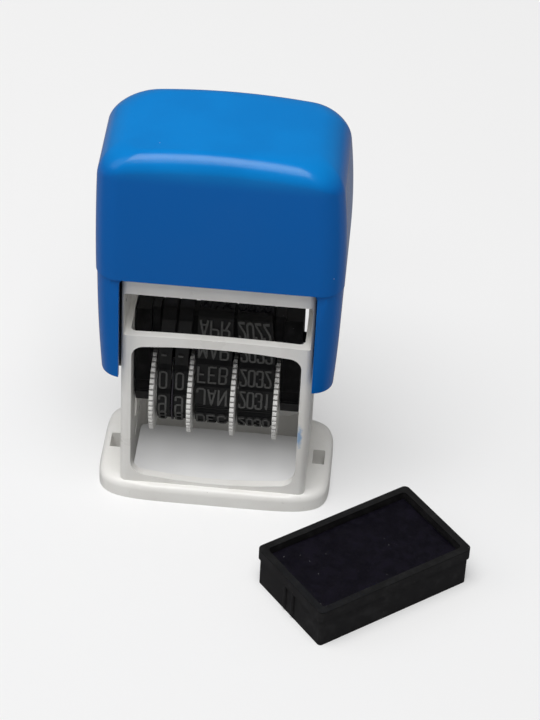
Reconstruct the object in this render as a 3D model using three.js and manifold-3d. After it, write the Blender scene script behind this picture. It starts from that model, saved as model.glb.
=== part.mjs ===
// Small self-inking date stamp, standing with its cap up, and its ink pad lying beside it.
// Millimetres, +Z up. The stamp's front faces -Y. Pressing the cap lowers a stirrup whose two pins
// carry the type holder down and, led by pegs in curved grooves, turn it over onto the paper.

import * as THREE from 'three';
import { mergeVertices } from 'three/addons/utils/BufferGeometryUtils.js';
import Module from 'manifold-3d';

const wasm = await Module();
wasm.setup();

// Clearances and overruns
const seatGap = 0.3; // between pieces that rest on or in one another
const runGap = 0.25; // around a turning shaft
const cutOver = 1; // how far a cutter runs past the face it cuts
const weldSink = 0.2; // how far a joined form is sunk into what it grows from

// Stroke and turning of the type holder
const stroke = 15; // travel of the cap and of the pivot
const pivotToFace = 13.25; // pivot to the printing face of the type
const pinRadius = 1.55; // stirrup pins
const guideRadius = 6; // pivot to guide peg
const pegRadius = 1.1;
const pegLength = 1.6;
const pegGap = 0.3; // peg to groove wall
const grooveFloorGap = 0.3; // peg tip to groove floor

// Ink pad
const padLength = 35.6;
const padWidth = 21.9;
const padHeight = 8.8;
const padCorner = 1.1;
const padRimHeight = 2.4;
const padRimLip = 0.4; // how far the rim stands proud of the tray's body
const padRimWidth = 1.5;
const padFloor = 1.5;
const padCavityCorner = 0.7;
const feltBelowRim = 1;
const endRibRadius = 0.45;
const endRibSpacing = 2.6;
const endRibFoot = 0.8;
const padPlaceX = 31.63; // from the stamp's centre to the pad's centre
const padPlaceY = -31.78;
const padTurn = THREE.MathUtils.degToRad(38.4);

// Frame
const ledgeBelowFace = 0.85; // the pad's ledge lies this far under the type face
const padSideGap = 0.25;
const padHeadroom = 0.15;
const slotWall = 0.55; // side wall beside the pad slot
const frameDepth = 24.2;
const frameWall = 1.7;
const frameCorner = 1.3;
const cavityCorner = 1.2; // upright corners inside the frame
const crossbarHeight = 2.75;
const crossbarRise = 0.75; // the crossbars and the window head arch up by this at the middle
const windowJamb = 2.07; // from the frame's outer side to its windows
const windowHeadCorner = 2.6;
const windowSillCorner = 3.4;
const sillZ = 5.4;
const sillBow = 0.9;
const padWindowCorner = 0.6;
const padRoof = 1.8; // plate over the pad slot
const trayRimHeight = 4.75; // rim round the spring tray on top of the frame
const trackClearance = 0.3; // pin to the sides of its upright slot
const trackEndGap = 0.4;
const springPostRadius = 3.3;
const springPostHeight = 3.5;

// Foot of the frame
const footSideReach = 4.85; // how far the foot stands out past the frame's sides
const footFrontReach = 1.5;
const footSquareness = 5.5; // exponent of the foot's outline, higher is squarer
const footEdgeHeight = 2.3;
const footHeight = 3.8;
const footShoulder = 2; // how far in the shoulder reaches the flat top
const footNotchFromWall = 0.9;
const footNotchLength = 2.45;
const footNotchWidth = 4.4;

// Stirrup
const armGap = 0.6; // frame wall to stirrup arm
const armThickness = 1.7;
const armFootHalfWidth = 4;
const armHeadHalfWidth = 6;
const bridgeThickness = 1.6;
const bridgeBelowTop = 7; // top of the cap to the top of the bridge
const pinSeat = 1.8; // depth of the pin in the side of the type holder
const springCollarRadius = 3.3;
const springCollarHeight = 2;

// Cap
const stampHeight = 83;
const capWall = 1.6;
const capFrontGap = 0.86; // frame face to the inside of the cap's front
const capCorner = 3.5;
const capBulge = 0.8; // how much wider the cap is at its widest level than at its foot
const capDrawIn = 1.35; // front and back lean in by this much towards the roof
const capFootZ = 31.5;
const capCrown = 1.9; // drop of the roof from its middle to its sides
const capSideRound = 5.4; // round between roof and sides
const capFrontRound = 3.5; // round between roof and front
const capRoofCorner = 1.2; // what is left of the corner round where the roof begins
const capCutHeight = 23.56; // from the cap's foot to the head of its cut-out
const capCutGap = 0.2; // frame side to the edge of the cut-out
const capCutCorner = 1.4;
const capLegSetback = 0.2; // the legs stand back by this from the body of the cap
const scoopWidth = 2.5; // shallow ramp beside the head of the cut-out
const scoopHeight = 5.5;
const scoopDepth = 0.35;
const scoopCorner = 2.3;
const roofRibThickness = 1.2;
const roofRibSpacing = 7;
const roofRibInset = 6.8; // rib's end to the side of the cap

// Return spring
const springRadius = 4.6;
const springWire = 0.9;
const springTurns = 5;

// Type wheels and bands
const axleDrop = 8.4; // pivot to wheel axle
const axleRadius = 1.25;
const axleInset = 0.4; // axle end to the outside of the cheek
const wheelRadius = 9.5;
const wheelThickness = 1;
const wheelTeeth = 60;
const toothDepth = 0.34;
const hubRadius = 5.3;
const bandThickness = 0.9;
const typeRelief = 0.5;
const platenHalfWidth = 2.6;
const platenCorner = 1.2;
const platenWall = 1.2;
const platenHeight = 9.6;
const platenTenonHeight = 4;
const platenTenonDepth = 1.5;
const platenEndGap = 0.45; // outer bands to the platen's end shoulders
const bandSideGap = 0.25;
const hubCornerRadius = 0.5; // inside of a band where it bends between two flats
const spacerThickness = 0.3;
const spacerOverBand = 0.3; // how far the spacer disc stands past the type of the day bands
const runRows = 4; // rows on a band's front run below the printing row, and on its rear run
const hubFlats = 4; // rows that lie on flats round the hub
const gatherRise = 2; // wheel rims up to where the bands start to draw together

// Gaps between the bands: beside the spacer disc, and where they lie gathered over the platen
const dayBandGap = 0.17;
const faceGapDays = 0.43;
const faceGapDayMonth = 0.92;
const faceGapMonthYear = 0.5;

// Sides of the type holder
const cheekSideGap = 0.8; // frame's inner wall to cheek
const cheekTopBelowFace = 1.1;
const cheekTopHalfWidth = 3.3;
const cheekWaistHalfWidth = 5;
const cheekShoulderRise = 4; // pivot up to where the cheek narrows
const cheekStepDrop = 4.2; // pivot down to the snap step
const cheekStepDepth = 0.6;
const cheekStepHeight = 2.9;
const cheekFootBelowAxle = 2.6;
const cheekFootHalfWidth = 2.6;

// Counts and shares
const roundSteps = 5; // steps in a quarter of a rounded corner or cut
const grooveSteps = 20; // steps along the guide groove
const shaftSides = 24;
const runSteps = 5; // steps in a band's straight run
const bendSteps = 3; // steps in a band's bend
const footSides = 56;
const capCornerSteps = 4;
const capRoofSteps = 8;
const capWallSteps = 6;
const capEdgeSteps = 5;
const toothTipShare = 0.42;
const toothRootShare = 0.2;
const rowShare = 0.2078; // pitch of the rows within the way from the printing row to the hub's first corner
const blockShare = 0.86; // length of a type block within its pitch
const blockTopShare = 0.8;
const leastStepShare = 0.025; // least step along a band within its pitch
const endCloseShare = 0.7; // how much closer the spring is wound at its ends
const capWidestShare = 0.437; // level where the cap is widest, from its foot to its top
const wheelShares = [-0.789, -0.322, 0.211, 0.741]; // thumb wheels, from the holder's middle to its sides
const gatheredShare = -0.0385; // middle of the gathered bands, likewise
const roofShares = [0.72, 0.4, 0.12]; // rings of the roof, from its edge inwards
const footShoulderShares = [[0.0, 0.0], [0.12, 0.55], [0.42, 0.87], [1.0, 1.0]]; // inward, upward

// Levels and widths that follow from the sizes above
const pivotPressedZ = pivotToFace;
const pivotZ = pivotPressedZ + stroke;
const faceZ = pivotZ + pivotToFace;
const axleZ = pivotZ - axleDrop;
const ledgeZ = faceZ - ledgeBelowFace;
const padSlotTopZ = ledgeZ + crossbarRise + padHeight + padHeadroom;
const padSlotHalfWidth = padLength / 2 + padSideGap;
const frameHalfWidth = padSlotHalfWidth + slotWall;
const frameHalfDepth = frameDepth / 2;
const windowHalfWidth = frameHalfWidth - windowJamb;
const footHalfWidth = frameHalfWidth + footSideReach;
const footHalfDepth = frameHalfDepth + footFrontReach;
const cavityHalfWidth = frameHalfWidth - frameWall;
const cavityHalfDepth = frameHalfDepth - frameWall;
const trayFloorZ = padSlotTopZ + padRoof;
const frameTopZ = trayFloorZ + trayRimHeight;
const armInnerX = frameHalfWidth + armGap;
const armOuterX = armInnerX + armThickness;
const capHalfWidth = armOuterX + seatGap + capWall;
const capHalfDepth = frameHalfDepth + capFrontGap + capWall;
const capWidestZ = capFootZ + (stampHeight - capFootZ) * capWidestShare;
const bridgeTopZ = stampHeight - bridgeBelowTop;
const bridgeUnderZ = bridgeTopZ - bridgeThickness;
const cheekOuterX = cavityHalfWidth - cheekSideGap;
const [wheelTensX, wheelUnitsX, wheelMonthX, wheelYearX] = wheelShares.map((share) => cheekOuterX * share);
const leftCheekInnerX = wheelTensX - wheelThickness / 2 - seatGap;
const rightCheekInnerX = wheelYearX + wheelThickness / 2 + seatGap;
const bandInnerRadius = hubRadius + seatGap;
const platenTopZ = faceZ - typeRelief - bandThickness - seatGap;
const platenFootZ = platenTopZ - platenHeight;

// Middles and widths of the bands at the hubs, and where they lie gathered over the platen
const spacerX = (wheelTensX + wheelUnitsX) / 2;
const dayBandWidth = (wheelUnitsX - wheelTensX - wheelThickness - spacerThickness) / 2 - 2 * dayBandGap;
const monthBandWidth = wheelMonthX - wheelUnitsX - wheelThickness - 2 * bandSideGap;
const yearBandWidth = wheelYearX - wheelMonthX - wheelThickness - 2 * bandSideGap;
const dayBandFromSpacer = spacerThickness / 2 + dayBandGap + dayBandWidth / 2;
const bandTensX = spacerX - dayBandFromSpacer;
const bandUnitsX = spacerX + dayBandFromSpacer;
const bandMonthX = (wheelUnitsX + wheelMonthX) / 2;
const bandYearX = (wheelMonthX + wheelYearX) / 2;
const gatheredWidth = 2 * dayBandWidth + monthBandWidth + yearBandWidth
  + faceGapDays + faceGapDayMonth + faceGapMonthYear;
const gatheredLeftX = cheekOuterX * gatheredShare - gatheredWidth / 2;
const bandTensFaceX = gatheredLeftX + dayBandWidth / 2;
const bandUnitsFaceX = bandTensFaceX + dayBandWidth + faceGapDays;
const bandMonthFaceX = bandUnitsFaceX + (dayBandWidth + monthBandWidth) / 2 + faceGapDayMonth;
const bandYearFaceX = bandMonthFaceX + (monthBandWidth + yearBandWidth) / 2 + faceGapMonthYear;

// Colours of the real pieces
const shellBlue = { color: 0x0b62ad, roughness: 0.42, metalness: 0 };
const frameWhite = { color: 0xd6d6d1, roughness: 0.5, metalness: 0 };
const carrierBlack = { color: 0x17171a, roughness: 0.5, metalness: 0 };
const wheelGrey = { color: 0xcfcfca, roughness: 0.55, metalness: 0 };
const bandRubber = { color: 0x2b2b2c, roughness: 0.75, metalness: 0 };
const padBlack = { color: 0x141416, roughness: 0.42, metalness: 0 };
const feltInk = { color: 0x1b1826, roughness: 0.95, metalness: 0 };
const steel = { color: 0xb4b7ba, roughness: 0.3, metalness: 1 };

// Turns a closed geometry into a solid that can be joined and cut
function solid(geometry) {
  const bare = geometry.clone();
  bare.deleteAttribute('normal');
  bare.deleteAttribute('uv');
  const welded = mergeVertices(bare);
  const vertProperties = new Float32Array(welded.attributes.position.array);
  const triVerts = new Uint32Array(welded.index.array);
  return new wasm.Manifold(new wasm.Mesh({ numProp: 3, vertProperties, triVerts }));
}

// Makes the named mesh of a finished solid
function piece(name, body, look) {
  const { vertProperties, triVerts } = body.getMesh();
  const geometry = new THREE.BufferGeometry();
  geometry.setAttribute('position', new THREE.BufferAttribute(new Float32Array(vertProperties), 3));
  geometry.setIndex(new THREE.BufferAttribute(new Uint32Array(triVerts), 1));
  geometry.computeVertexNormals();
  const mesh = new THREE.Mesh(geometry, new THREE.MeshStandardMaterial(look));
  mesh.name = name;
  return mesh;
}

// Extrudes an outline drawn in X and Y upwards
function extrudeZ(shape, fromZ, toZ, steps = roundSteps) {
  const settings = { depth: toZ - fromZ, bevelEnabled: false, curveSegments: steps };
  return solid(new THREE.ExtrudeGeometry(shape, settings).translate(0, 0, fromZ));
}

// Extrudes an outline drawn in X and Z through the depth of the stamp
function extrudeY(shape, fromY, toY, steps = roundSteps) {
  const settings = { depth: toY - fromY, bevelEnabled: false, curveSegments: steps };
  return solid(new THREE.ExtrudeGeometry(shape, settings).rotateX(Math.PI / 2).translate(0, toY, 0));
}

// Extrudes an outline drawn in Y and Z across the width of the stamp
function extrudeX(shape, fromX, toX, steps = roundSteps) {
  const settings = { depth: toX - fromX, bevelEnabled: false, curveSegments: steps };
  const axes = new THREE.Matrix4().makeBasis(
    new THREE.Vector3(0, 1, 0),
    new THREE.Vector3(0, 0, 1),
    new THREE.Vector3(1, 0, 0),
  );
  return solid(new THREE.ExtrudeGeometry(shape, settings).applyMatrix4(axes).translate(fromX, 0, 0));
}

// Round bar lying across the stamp
function barX(radius, fromX, toX, y, z) {
  const bar = new THREE.CylinderGeometry(radius, radius, toX - fromX, shaftSides);
  return solid(bar.rotateZ(Math.PI / 2).translate((fromX + toX) / 2, y, z));
}

// Round bar standing upright
function barZ(radius, x, y, fromZ, toZ) {
  const bar = new THREE.CylinderGeometry(radius, radius, toZ - fromZ, shaftSides);
  return solid(bar.rotateX(Math.PI / 2).translate(x, y, (fromZ + toZ) / 2));
}

function box(fromX, toX, fromY, toY, fromZ, toZ) {
  const block = new THREE.BoxGeometry(toX - fromX, toY - fromY, toZ - fromZ);
  return solid(block.translate((fromX + toX) / 2, (fromY + toY) / 2, (fromZ + toZ) / 2));
}

function roundedRectangle(halfX, halfY, radius) {
  const shape = new THREE.Shape();
  shape.absarc(halfX - radius, halfY - radius, radius, 0, Math.PI / 2);
  shape.absarc(radius - halfX, halfY - radius, radius, Math.PI / 2, Math.PI);
  shape.absarc(radius - halfX, radius - halfY, radius, Math.PI, 1.5 * Math.PI);
  shape.absarc(halfX - radius, radius - halfY, radius, 1.5 * Math.PI, 2 * Math.PI);
  shape.closePath();
  return shape;
}

// Opening with its own corner rounds and with its head and sill bowed at the middle
function bowedOpening(halfWidth, sill, head, sillCorner, headCorner, sillRise, headRise) {
  const shape = new THREE.Shape();
  shape.absarc(halfWidth - headCorner, head - headCorner, headCorner, 0, Math.PI / 2);
  shape.quadraticCurveTo(0, head + 2 * headRise, headCorner - halfWidth, head);
  shape.absarc(headCorner - halfWidth, head - headCorner, headCorner, Math.PI / 2, Math.PI);
  shape.absarc(sillCorner - halfWidth, sill + sillCorner, sillCorner, Math.PI, 1.5 * Math.PI);
  shape.quadraticCurveTo(0, sill + 2 * sillRise, halfWidth - sillCorner, sill);
  shape.absarc(halfWidth - sillCorner, sill + sillCorner, sillCorner, 1.5 * Math.PI, 2 * Math.PI);
  shape.closePath();
  return shape;
}

// Upright slot with round ends, drawn in Y and Z
function trackSlot(halfWidth, lowZ, highZ) {
  const shape = new THREE.Shape();
  shape.absarc(0, highZ - halfWidth, halfWidth, 0, Math.PI);
  shape.absarc(0, lowZ + halfWidth, halfWidth, Math.PI, 2 * Math.PI);
  shape.closePath();
  return shape;
}

// Curved groove that the guide peg follows while the pivot sinks and the type holder turns over
function guideGroove(halfWidth) {
  const way = Array.from({ length: grooveSteps + 1 }, (_, i) => {
    const turn = (Math.PI * i) / grooveSteps;
    const y = guideRadius * Math.sin(turn);
    const z = pivotZ - (stroke * turn) / Math.PI + guideRadius * Math.cos(turn);
    const heading = new THREE.Vector2(
      guideRadius * Math.cos(turn),
      -stroke / Math.PI - guideRadius * Math.sin(turn),
    ).normalize();
    return { y, z, heading };
  });
  const beside = (side) => ({ y, z, heading }) =>
    new THREE.Vector2(y - side * halfWidth * heading.y, z + side * halfWidth * heading.x);
  const endRound = ({ y, z, heading }, sign) => {
    const middle = heading.angle() + (sign > 0 ? 0 : Math.PI);
    return Array.from({ length: roundSteps - 1 }, (_, i) => {
      const angle = middle + Math.PI / 2 - (Math.PI * (i + 1)) / roundSteps;
      return new THREE.Vector2(y + halfWidth * Math.cos(angle), z + halfWidth * Math.sin(angle));
    });
  };
  return new THREE.Shape([
    ...way.map(beside(1)),
    ...endRound(way[grooveSteps], 1),
    ...way.map(beside(-1)).reverse(),
    ...endRound(way[0], -1),
  ]);
}

// Triangles between neighbouring rings of points, each ring anticlockwise about the way forward
function strips(ringCount, count, joined) {
  const index = [];
  const spans = joined ? ringCount : ringCount - 1;
  for (let ring = 0; ring < spans; ring += 1) {
    const here = ring * count;
    const ahead = ((ring + 1) % ringCount) * count;
    for (let i = 0; i < count; i += 1) {
      const next = (i + 1) % count;
      index.push(here + i, here + next, ahead + next, here + i, ahead + next, ahead + i);
    }
  }
  return index;
}

function indexed(points, index) {
  const geometry = new THREE.BufferGeometry().setFromPoints(points);
  geometry.setIndex(index);
  return solid(geometry);
}

// Closed skin through rings of points, lower rings first, with a fan over each end
function skin(rings) {
  const count = rings[0].length;
  const points = rings.flat();
  const index = strips(rings.length, count, false);
  const middle = (ring) =>
    ring.reduce((sum, p) => sum.add(p), new THREE.Vector3()).divideScalar(ring.length);
  const low = points.push(middle(rings[0])) - 1;
  const high = points.push(middle(rings[rings.length - 1])) - 1;
  const top = (rings.length - 1) * count;
  for (let i = 0; i < count; i += 1) {
    const next = (i + 1) % count;
    index.push(low, next, i, high, top + i, top + next);
  }
  return indexed(points, index);
}

// Skin round a loop of rings, the last joined to the first
function loopSkin(rings) {
  return indexed(rings.flat(), strips(rings.length, rings[0].length, true));
}

// Foot of the frame: a squarish oval plate with a rounded shoulder
function footPlate() {
  const levels = [
    { inset: 0, z: 0 },
    ...footShoulderShares.map(([inward, upward]) => ({
      inset: footShoulder * inward,
      z: footEdgeHeight + (footHeight - footEdgeHeight) * upward,
    })),
  ];
  return skin(levels.map(({ inset, z }) => footRing(inset, z)));
}

function footRing(inset, z) {
  const power = 2 / footSquareness;
  return Array.from({ length: footSides }, (_, i) => {
    const angle = (2 * Math.PI * (i + 0.5)) / footSides;
    const across = Math.sign(Math.cos(angle)) * Math.abs(Math.cos(angle)) ** power;
    const along = Math.sign(Math.sin(angle)) * Math.abs(Math.sin(angle)) ** power;
    return new THREE.Vector3((footHalfWidth - inset) * across, (footHalfDepth - inset) * along, z);
  });
}

// One-piece frame: foot, windowed tube, pad slot, upright tracks and guide grooves
function frame() {
  const tube = extrudeZ(
    roundedRectangle(frameHalfWidth, frameHalfDepth, frameCorner),
    footEdgeHeight,
    frameTopZ,
  );
  const inside = roundedRectangle(cavityHalfWidth, cavityHalfDepth, cavityCorner);
  const windowHeadZ = ledgeZ - crossbarHeight;
  const dateWindow = bowedOpening(
    windowHalfWidth,
    sillZ,
    windowHeadZ,
    windowSillCorner,
    windowHeadCorner,
    -sillBow,
    crossbarRise,
  );
  const padWindow = bowedOpening(
    padSlotHalfWidth,
    ledgeZ,
    padSlotTopZ,
    padWindowCorner,
    padWindowCorner,
    crossbarRise,
    0,
  );
  const trackHalfWidth = pinRadius + trackClearance;
  const track = trackSlot(
    trackHalfWidth,
    pivotPressedZ - trackHalfWidth - trackEndGap,
    pivotZ + trackHalfWidth + trackEndGap,
  );
  const grooveDepthX = cheekOuterX + pegLength + grooveFloorGap;
  const groove = guideGroove(pegRadius + pegGap);
  let body = footPlate().add(tube);
  body = body.subtract(extrudeZ(inside, -cutOver, padSlotTopZ));
  body = body.subtract(extrudeZ(inside, trayFloorZ, frameTopZ + cutOver));
  body = body.subtract(extrudeY(dateWindow, -frameHalfDepth - cutOver, frameHalfDepth + cutOver));
  body = body.subtract(extrudeY(padWindow, -frameHalfDepth - cutOver, frameHalfDepth + cutOver));
  body = body.subtract(extrudeX(track, -frameHalfWidth - cutOver, frameHalfWidth + cutOver));
  body = body.subtract(extrudeX(groove, -grooveDepthX, grooveDepthX));
  const notchFrom = frameHalfWidth + footNotchFromWall;
  const notchTo = notchFrom + footNotchLength;
  for (const [fromX, toX] of [[notchFrom, notchTo], [-notchTo, -notchFrom]]) {
    const notch = box(fromX, toX, -footNotchWidth / 2, footNotchWidth / 2, -cutOver, footHeight + cutOver);
    body = body.subtract(notch);
  }
  const post = barZ(springPostRadius, 0, 0, trayFloorZ - weldSink, trayFloorZ + springPostHeight);
  return piece('frame', body.add(post), frameWhite);
}

// Rounded plan outline of the cap as points with their outward directions
function capPlan(halfX, halfY, radius) {
  const cornerX = halfX - radius;
  const cornerY = halfY - radius;
  const quarter = (midX, midY, from) =>
    Array.from({ length: capCornerSteps + 1 }, (_, i) => {
      const angle = from + (Math.PI / 2) * (i / capCornerSteps);
      const out = new THREE.Vector2(Math.cos(angle), Math.sin(angle));
      return { x: midX + radius * out.x, y: midY + radius * out.y, out };
    });
  const across = (side) =>
    Array.from({ length: capRoofSteps - 1 }, (_, i) => {
      const x = side * cornerX * (1 - (2 * (i + 1)) / capRoofSteps);
      return { x, y: side * halfY, out: new THREE.Vector2(0, side) };
    });
  return [
    ...quarter(cornerX, cornerY, 0),
    ...across(1),
    ...quarter(-cornerX, cornerY, Math.PI / 2),
    ...quarter(-cornerX, -cornerY, Math.PI),
    ...across(-1),
    ...quarter(cornerX, -cornerY, 1.5 * Math.PI),
  ];
}

// How far the cap's sides swell out at a level
function capSwell(z) {
  const away = (z - capWidestZ) / (capWidestZ - capFootZ);
  return capBulge * (1 - away * away);
}

// How far the cap's front and back are drawn in at a level
function capDraw(z) {
  const up = Math.max(z - capWidestZ, 0) / (stampHeight - capWidestZ);
  return capDrawIn * up * up;
}

// Solid block under the cap's outer or inner surface
function capBlock(inset, footZ) {
  const halfX = capHalfWidth - inset;
  const halfY = capHalfDepth - inset;
  const sideRound = capSideRound - inset;
  const frontRound = capFrontRound - inset;
  const roofZ = (x) => stampHeight - inset - capCrown * (x / capHalfWidth) ** 2;
  const place = (x, y, z) => new THREE.Vector3(
    x + (capSwell(z) * x) / capHalfWidth,
    y - (capDraw(z) * y) / capHalfDepth,
    z,
  );
  const rings = [];
  for (let step = 0; step <= capWallSteps; step += 1) {
    rings.push(capPlan(halfX, halfY, capCorner - inset).map(({ x, y, out }) => {
      const shoulderZ = roofZ(x) - sideRound * out.x ** 2 - frontRound * out.y ** 2;
      return place(x, y, footZ + ((shoulderZ - footZ) * step) / capWallSteps);
    }));
  }
  for (let step = 1; step <= capEdgeSteps; step += 1) {
    const angle = (Math.PI / 2) * (step / capEdgeSteps);
    const inward = 1 - Math.cos(angle);
    const corner = THREE.MathUtils.lerp(capCorner, capRoofCorner + inset, inward) - inset;
    const plan = capPlan(halfX - sideRound * inward, halfY - frontRound * inward, corner);
    rings.push(plan.map(({ x, y, out }) => {
      const round = sideRound * out.x ** 2 + frontRound * out.y ** 2;
      return place(x, y, roofZ(x) - round * (1 - Math.sin(angle)));
    }));
  }
  const edge = rings[rings.length - 1];
  for (const share of roofShares) {
    rings.push(edge.map((p) => new THREE.Vector3(p.x * share, p.y * share, roofZ(p.x * share))));
  }
  return skin(rings);
}

// Shallow ramp in the face of a leg, deepest where it meets the body of the cap
function legScoop(side, behind, cutHalfWidth, headZ) {
  const slope = Math.hypot(scoopHeight, scoopDepth);
  const inX = cutHalfWidth - cutOver;
  const outX = cutHalfWidth + scoopWidth;
  const right = new THREE.Shape();
  right.moveTo(inX, 0);
  right.lineTo(outX, 0);
  right.lineTo(outX, slope - scoopCorner);
  right.absarc(outX - scoopCorner, slope - scoopCorner, scoopCorner, 0, Math.PI / 2);
  right.lineTo(outX - scoopCorner, slope + cutOver);
  right.lineTo(inX, slope + cutOver);
  right.closePath();
  const points = right.getPoints(roundSteps).map((p) => new THREE.Vector2(side * p.x, p.y));
  const cutter = new THREE.ExtrudeGeometry(new THREE.Shape(points), { depth: cutOver, bevelEnabled: false });
  cutter.rotateX(Math.PI / 2 - Math.asin(scoopDepth / slope));
  cutter.translate(0, capLegSetback - capHalfDepth, headZ - scoopHeight);
  return solid(behind ? cutter.rotateZ(Math.PI) : cutter);
}

// Cap: a moulded shell with a cut-out front and back, ribbed under its roof
function cap() {
  const inner = capBlock(capWall, capFootZ - cutOver);
  const cutHalfWidth = frameHalfWidth + capCutGap;
  const cutHeadZ = capFootZ + capCutHeight;
  const ribHalfLength = capHalfWidth - roofRibInset;
  let legs = capBlock(capLegSetback, capFootZ);
  for (const side of [-1, 1]) {
    for (const behind of [false, true]) {
      legs = legs.subtract(legScoop(side, behind, cutHalfWidth, cutHeadZ));
    }
  }
  const outer = legs.add(capBlock(0, cutHeadZ));
  const cut = new THREE.Shape();
  cut.moveTo(cutHalfWidth, capFootZ - cutOver);
  cut.lineTo(cutHalfWidth, cutHeadZ - capCutCorner);
  cut.absarc(cutHalfWidth - capCutCorner, cutHeadZ - capCutCorner, capCutCorner, 0, Math.PI / 2);
  cut.absarc(capCutCorner - cutHalfWidth, cutHeadZ - capCutCorner, capCutCorner, Math.PI / 2, Math.PI);
  cut.lineTo(-cutHalfWidth, capFootZ - cutOver);
  cut.closePath();
  let shell = outer.subtract(inner);
  for (const y of [-roofRibSpacing / 2, roofRibSpacing / 2]) {
    const rib = box(
      -ribHalfLength,
      ribHalfLength,
      y - roofRibThickness / 2,
      y + roofRibThickness / 2,
      bridgeTopZ + seatGap,
      stampHeight - capWall / 2,
    );
    shell = shell.add(rib.intersect(outer));
  }
  const open = extrudeY(cut, -capHalfDepth - cutOver, capHalfDepth + cutOver);
  return piece('cap', shell.subtract(open), shellBlue);
}

// Stirrup: a bridge under the roof with two arms outside the frame and a pin inwards on each
function stirrup() {
  const arm = new THREE.Shape();
  arm.absarc(0, pivotZ, armFootHalfWidth, Math.PI, 2 * Math.PI);
  arm.lineTo(armHeadHalfWidth, bridgeUnderZ);
  arm.lineTo(armHeadHalfWidth, bridgeTopZ);
  arm.lineTo(-armHeadHalfWidth, bridgeTopZ);
  arm.lineTo(-armHeadHalfWidth, bridgeUnderZ);
  arm.closePath();
  let body = box(-armOuterX, armOuterX, -armHeadHalfWidth, armHeadHalfWidth, bridgeUnderZ, bridgeTopZ);
  const pinTip = cheekOuterX - pinSeat;
  body = body.add(extrudeX(arm, armInnerX, armOuterX));
  body = body.add(extrudeX(arm, -armOuterX, -armInnerX));
  body = body.add(barX(pinRadius, pinTip, armInnerX + weldSink, 0, pivotZ));
  body = body.add(barX(pinRadius, -armInnerX - weldSink, -pinTip, 0, pivotZ));
  const collar = barZ(springCollarRadius, 0, 0, bridgeUnderZ - springCollarHeight, bridgeUnderZ + weldSink);
  return piece('stirrup', body.add(collar), carrierBlack);
}

// Return spring: one unbroken wire, wound closer at both ends
function returnSpring() {
  const stepsPerTurn = 8;
  const wireSides = 5;
  const wireRadius = springWire / 2;
  const steps = springTurns * stepsPerTurn;
  const lowZ = trayFloorZ + seatGap + wireRadius;
  const highZ = bridgeUnderZ - seatGap - wireRadius;
  const rise = (share) => share - Math.sin(2 * Math.PI * share) / (2 * Math.PI) * endCloseShare;
  const rings = [];
  for (let step = 0; step <= steps; step += 1) {
    const angle = (2 * Math.PI * step) / stepsPerTurn;
    const z = lowZ + (highZ - lowZ) * rise(step / steps);
    const outward = new THREE.Vector3(Math.cos(angle), Math.sin(angle), 0);
    const centre = outward.clone().multiplyScalar(springRadius).setZ(z);
    rings.push(Array.from({ length: wireSides }, (_, i) => {
      const around = (-2 * Math.PI * i) / wireSides;
      const side = outward.clone().multiplyScalar(wireRadius * Math.cos(around));
      return side.setZ(wireRadius * Math.sin(around)).add(centre);
    }));
  }
  const pointsPerTurn = stepsPerTurn;
  let least = Infinity;
  for (let i = 0; i + pointsPerTurn < rings.length; i += 1) {
    for (const p of rings[i]) {
      for (const q of rings[i + pointsPerTurn]) {
        least = Math.min(least, p.distanceTo(q));
      }
    }
  }
  console.log(`return spring: least gap between turns ${least.toFixed(2)} mm`);
  return piece('return_spring', skin(rings), steel);
}

// Cheek: one side of the type holder, with pin seat, axle bore, platen pocket and guide peg
function cheek(name, innerX, side) {
  const outerX = side * cheekOuterX;
  const [fromX, toX] = [Math.min(innerX, outerX), Math.max(innerX, outerX)];
  const top = faceZ - cheekTopBelowFace;
  const stepTop = pivotZ - cheekStepDrop;
  const stepFoot = stepTop - cheekStepHeight;
  const foot = axleZ - cheekFootBelowAxle;
  const narrow = cheekWaistHalfWidth - cheekStepDepth;
  const half = [
    [cheekTopHalfWidth, top],
    [cheekWaistHalfWidth, pivotZ + cheekShoulderRise],
    [cheekWaistHalfWidth, stepTop],
    [narrow, stepTop],
    [narrow, stepFoot],
    [cheekWaistHalfWidth, stepFoot],
    [cheekFootHalfWidth, foot],
  ];
  const outline = [...half, ...half.map(([y, z]) => [-y, z]).reverse()].reverse();
  const shape = new THREE.Shape(outline.map(([y, z]) => new THREE.Vector2(y, z)));
  const pinBore = side > 0
    ? [outerX - pinSeat - seatGap, outerX + cutOver]
    : [outerX - cutOver, outerX + pinSeat + seatGap];
  const pocket = platenTenon(seatGap);
  const pocketX = side > 0
    ? [innerX - cutOver, innerX + platenTenonDepth]
    : [innerX - platenTenonDepth, innerX + cutOver];
  const peg = side > 0
    ? [outerX - weldSink, outerX + pegLength]
    : [outerX - pegLength, outerX + weldSink];
  let body = extrudeX(shape, fromX, toX);
  body = body.subtract(barX(pinRadius + runGap, pinBore[0], pinBore[1], 0, pivotZ));
  body = body.subtract(barX(axleRadius + runGap, fromX - cutOver, toX + cutOver, 0, axleZ));
  body = body.subtract(extrudeX(pocket, pocketX[0], pocketX[1]));
  body = body.add(barX(pegRadius, peg[0], peg[1], 0, pivotZ + guideRadius));
  return piece(name, body, carrierBlack);
}

// Outline of the platen's end tenon, grown by a clearance
function platenTenon(grow) {
  const shape = new THREE.Shape();
  const half = platenHalfWidth / 2 + grow;
  const high = platenTopZ - platenCorner + grow;
  const low = platenTopZ - platenCorner - platenTenonHeight - grow;
  shape.moveTo(-half, low);
  shape.lineTo(half, low);
  shape.lineTo(half, high);
  shape.lineTo(-half, high);
  shape.closePath();
  return shape;
}

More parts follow.
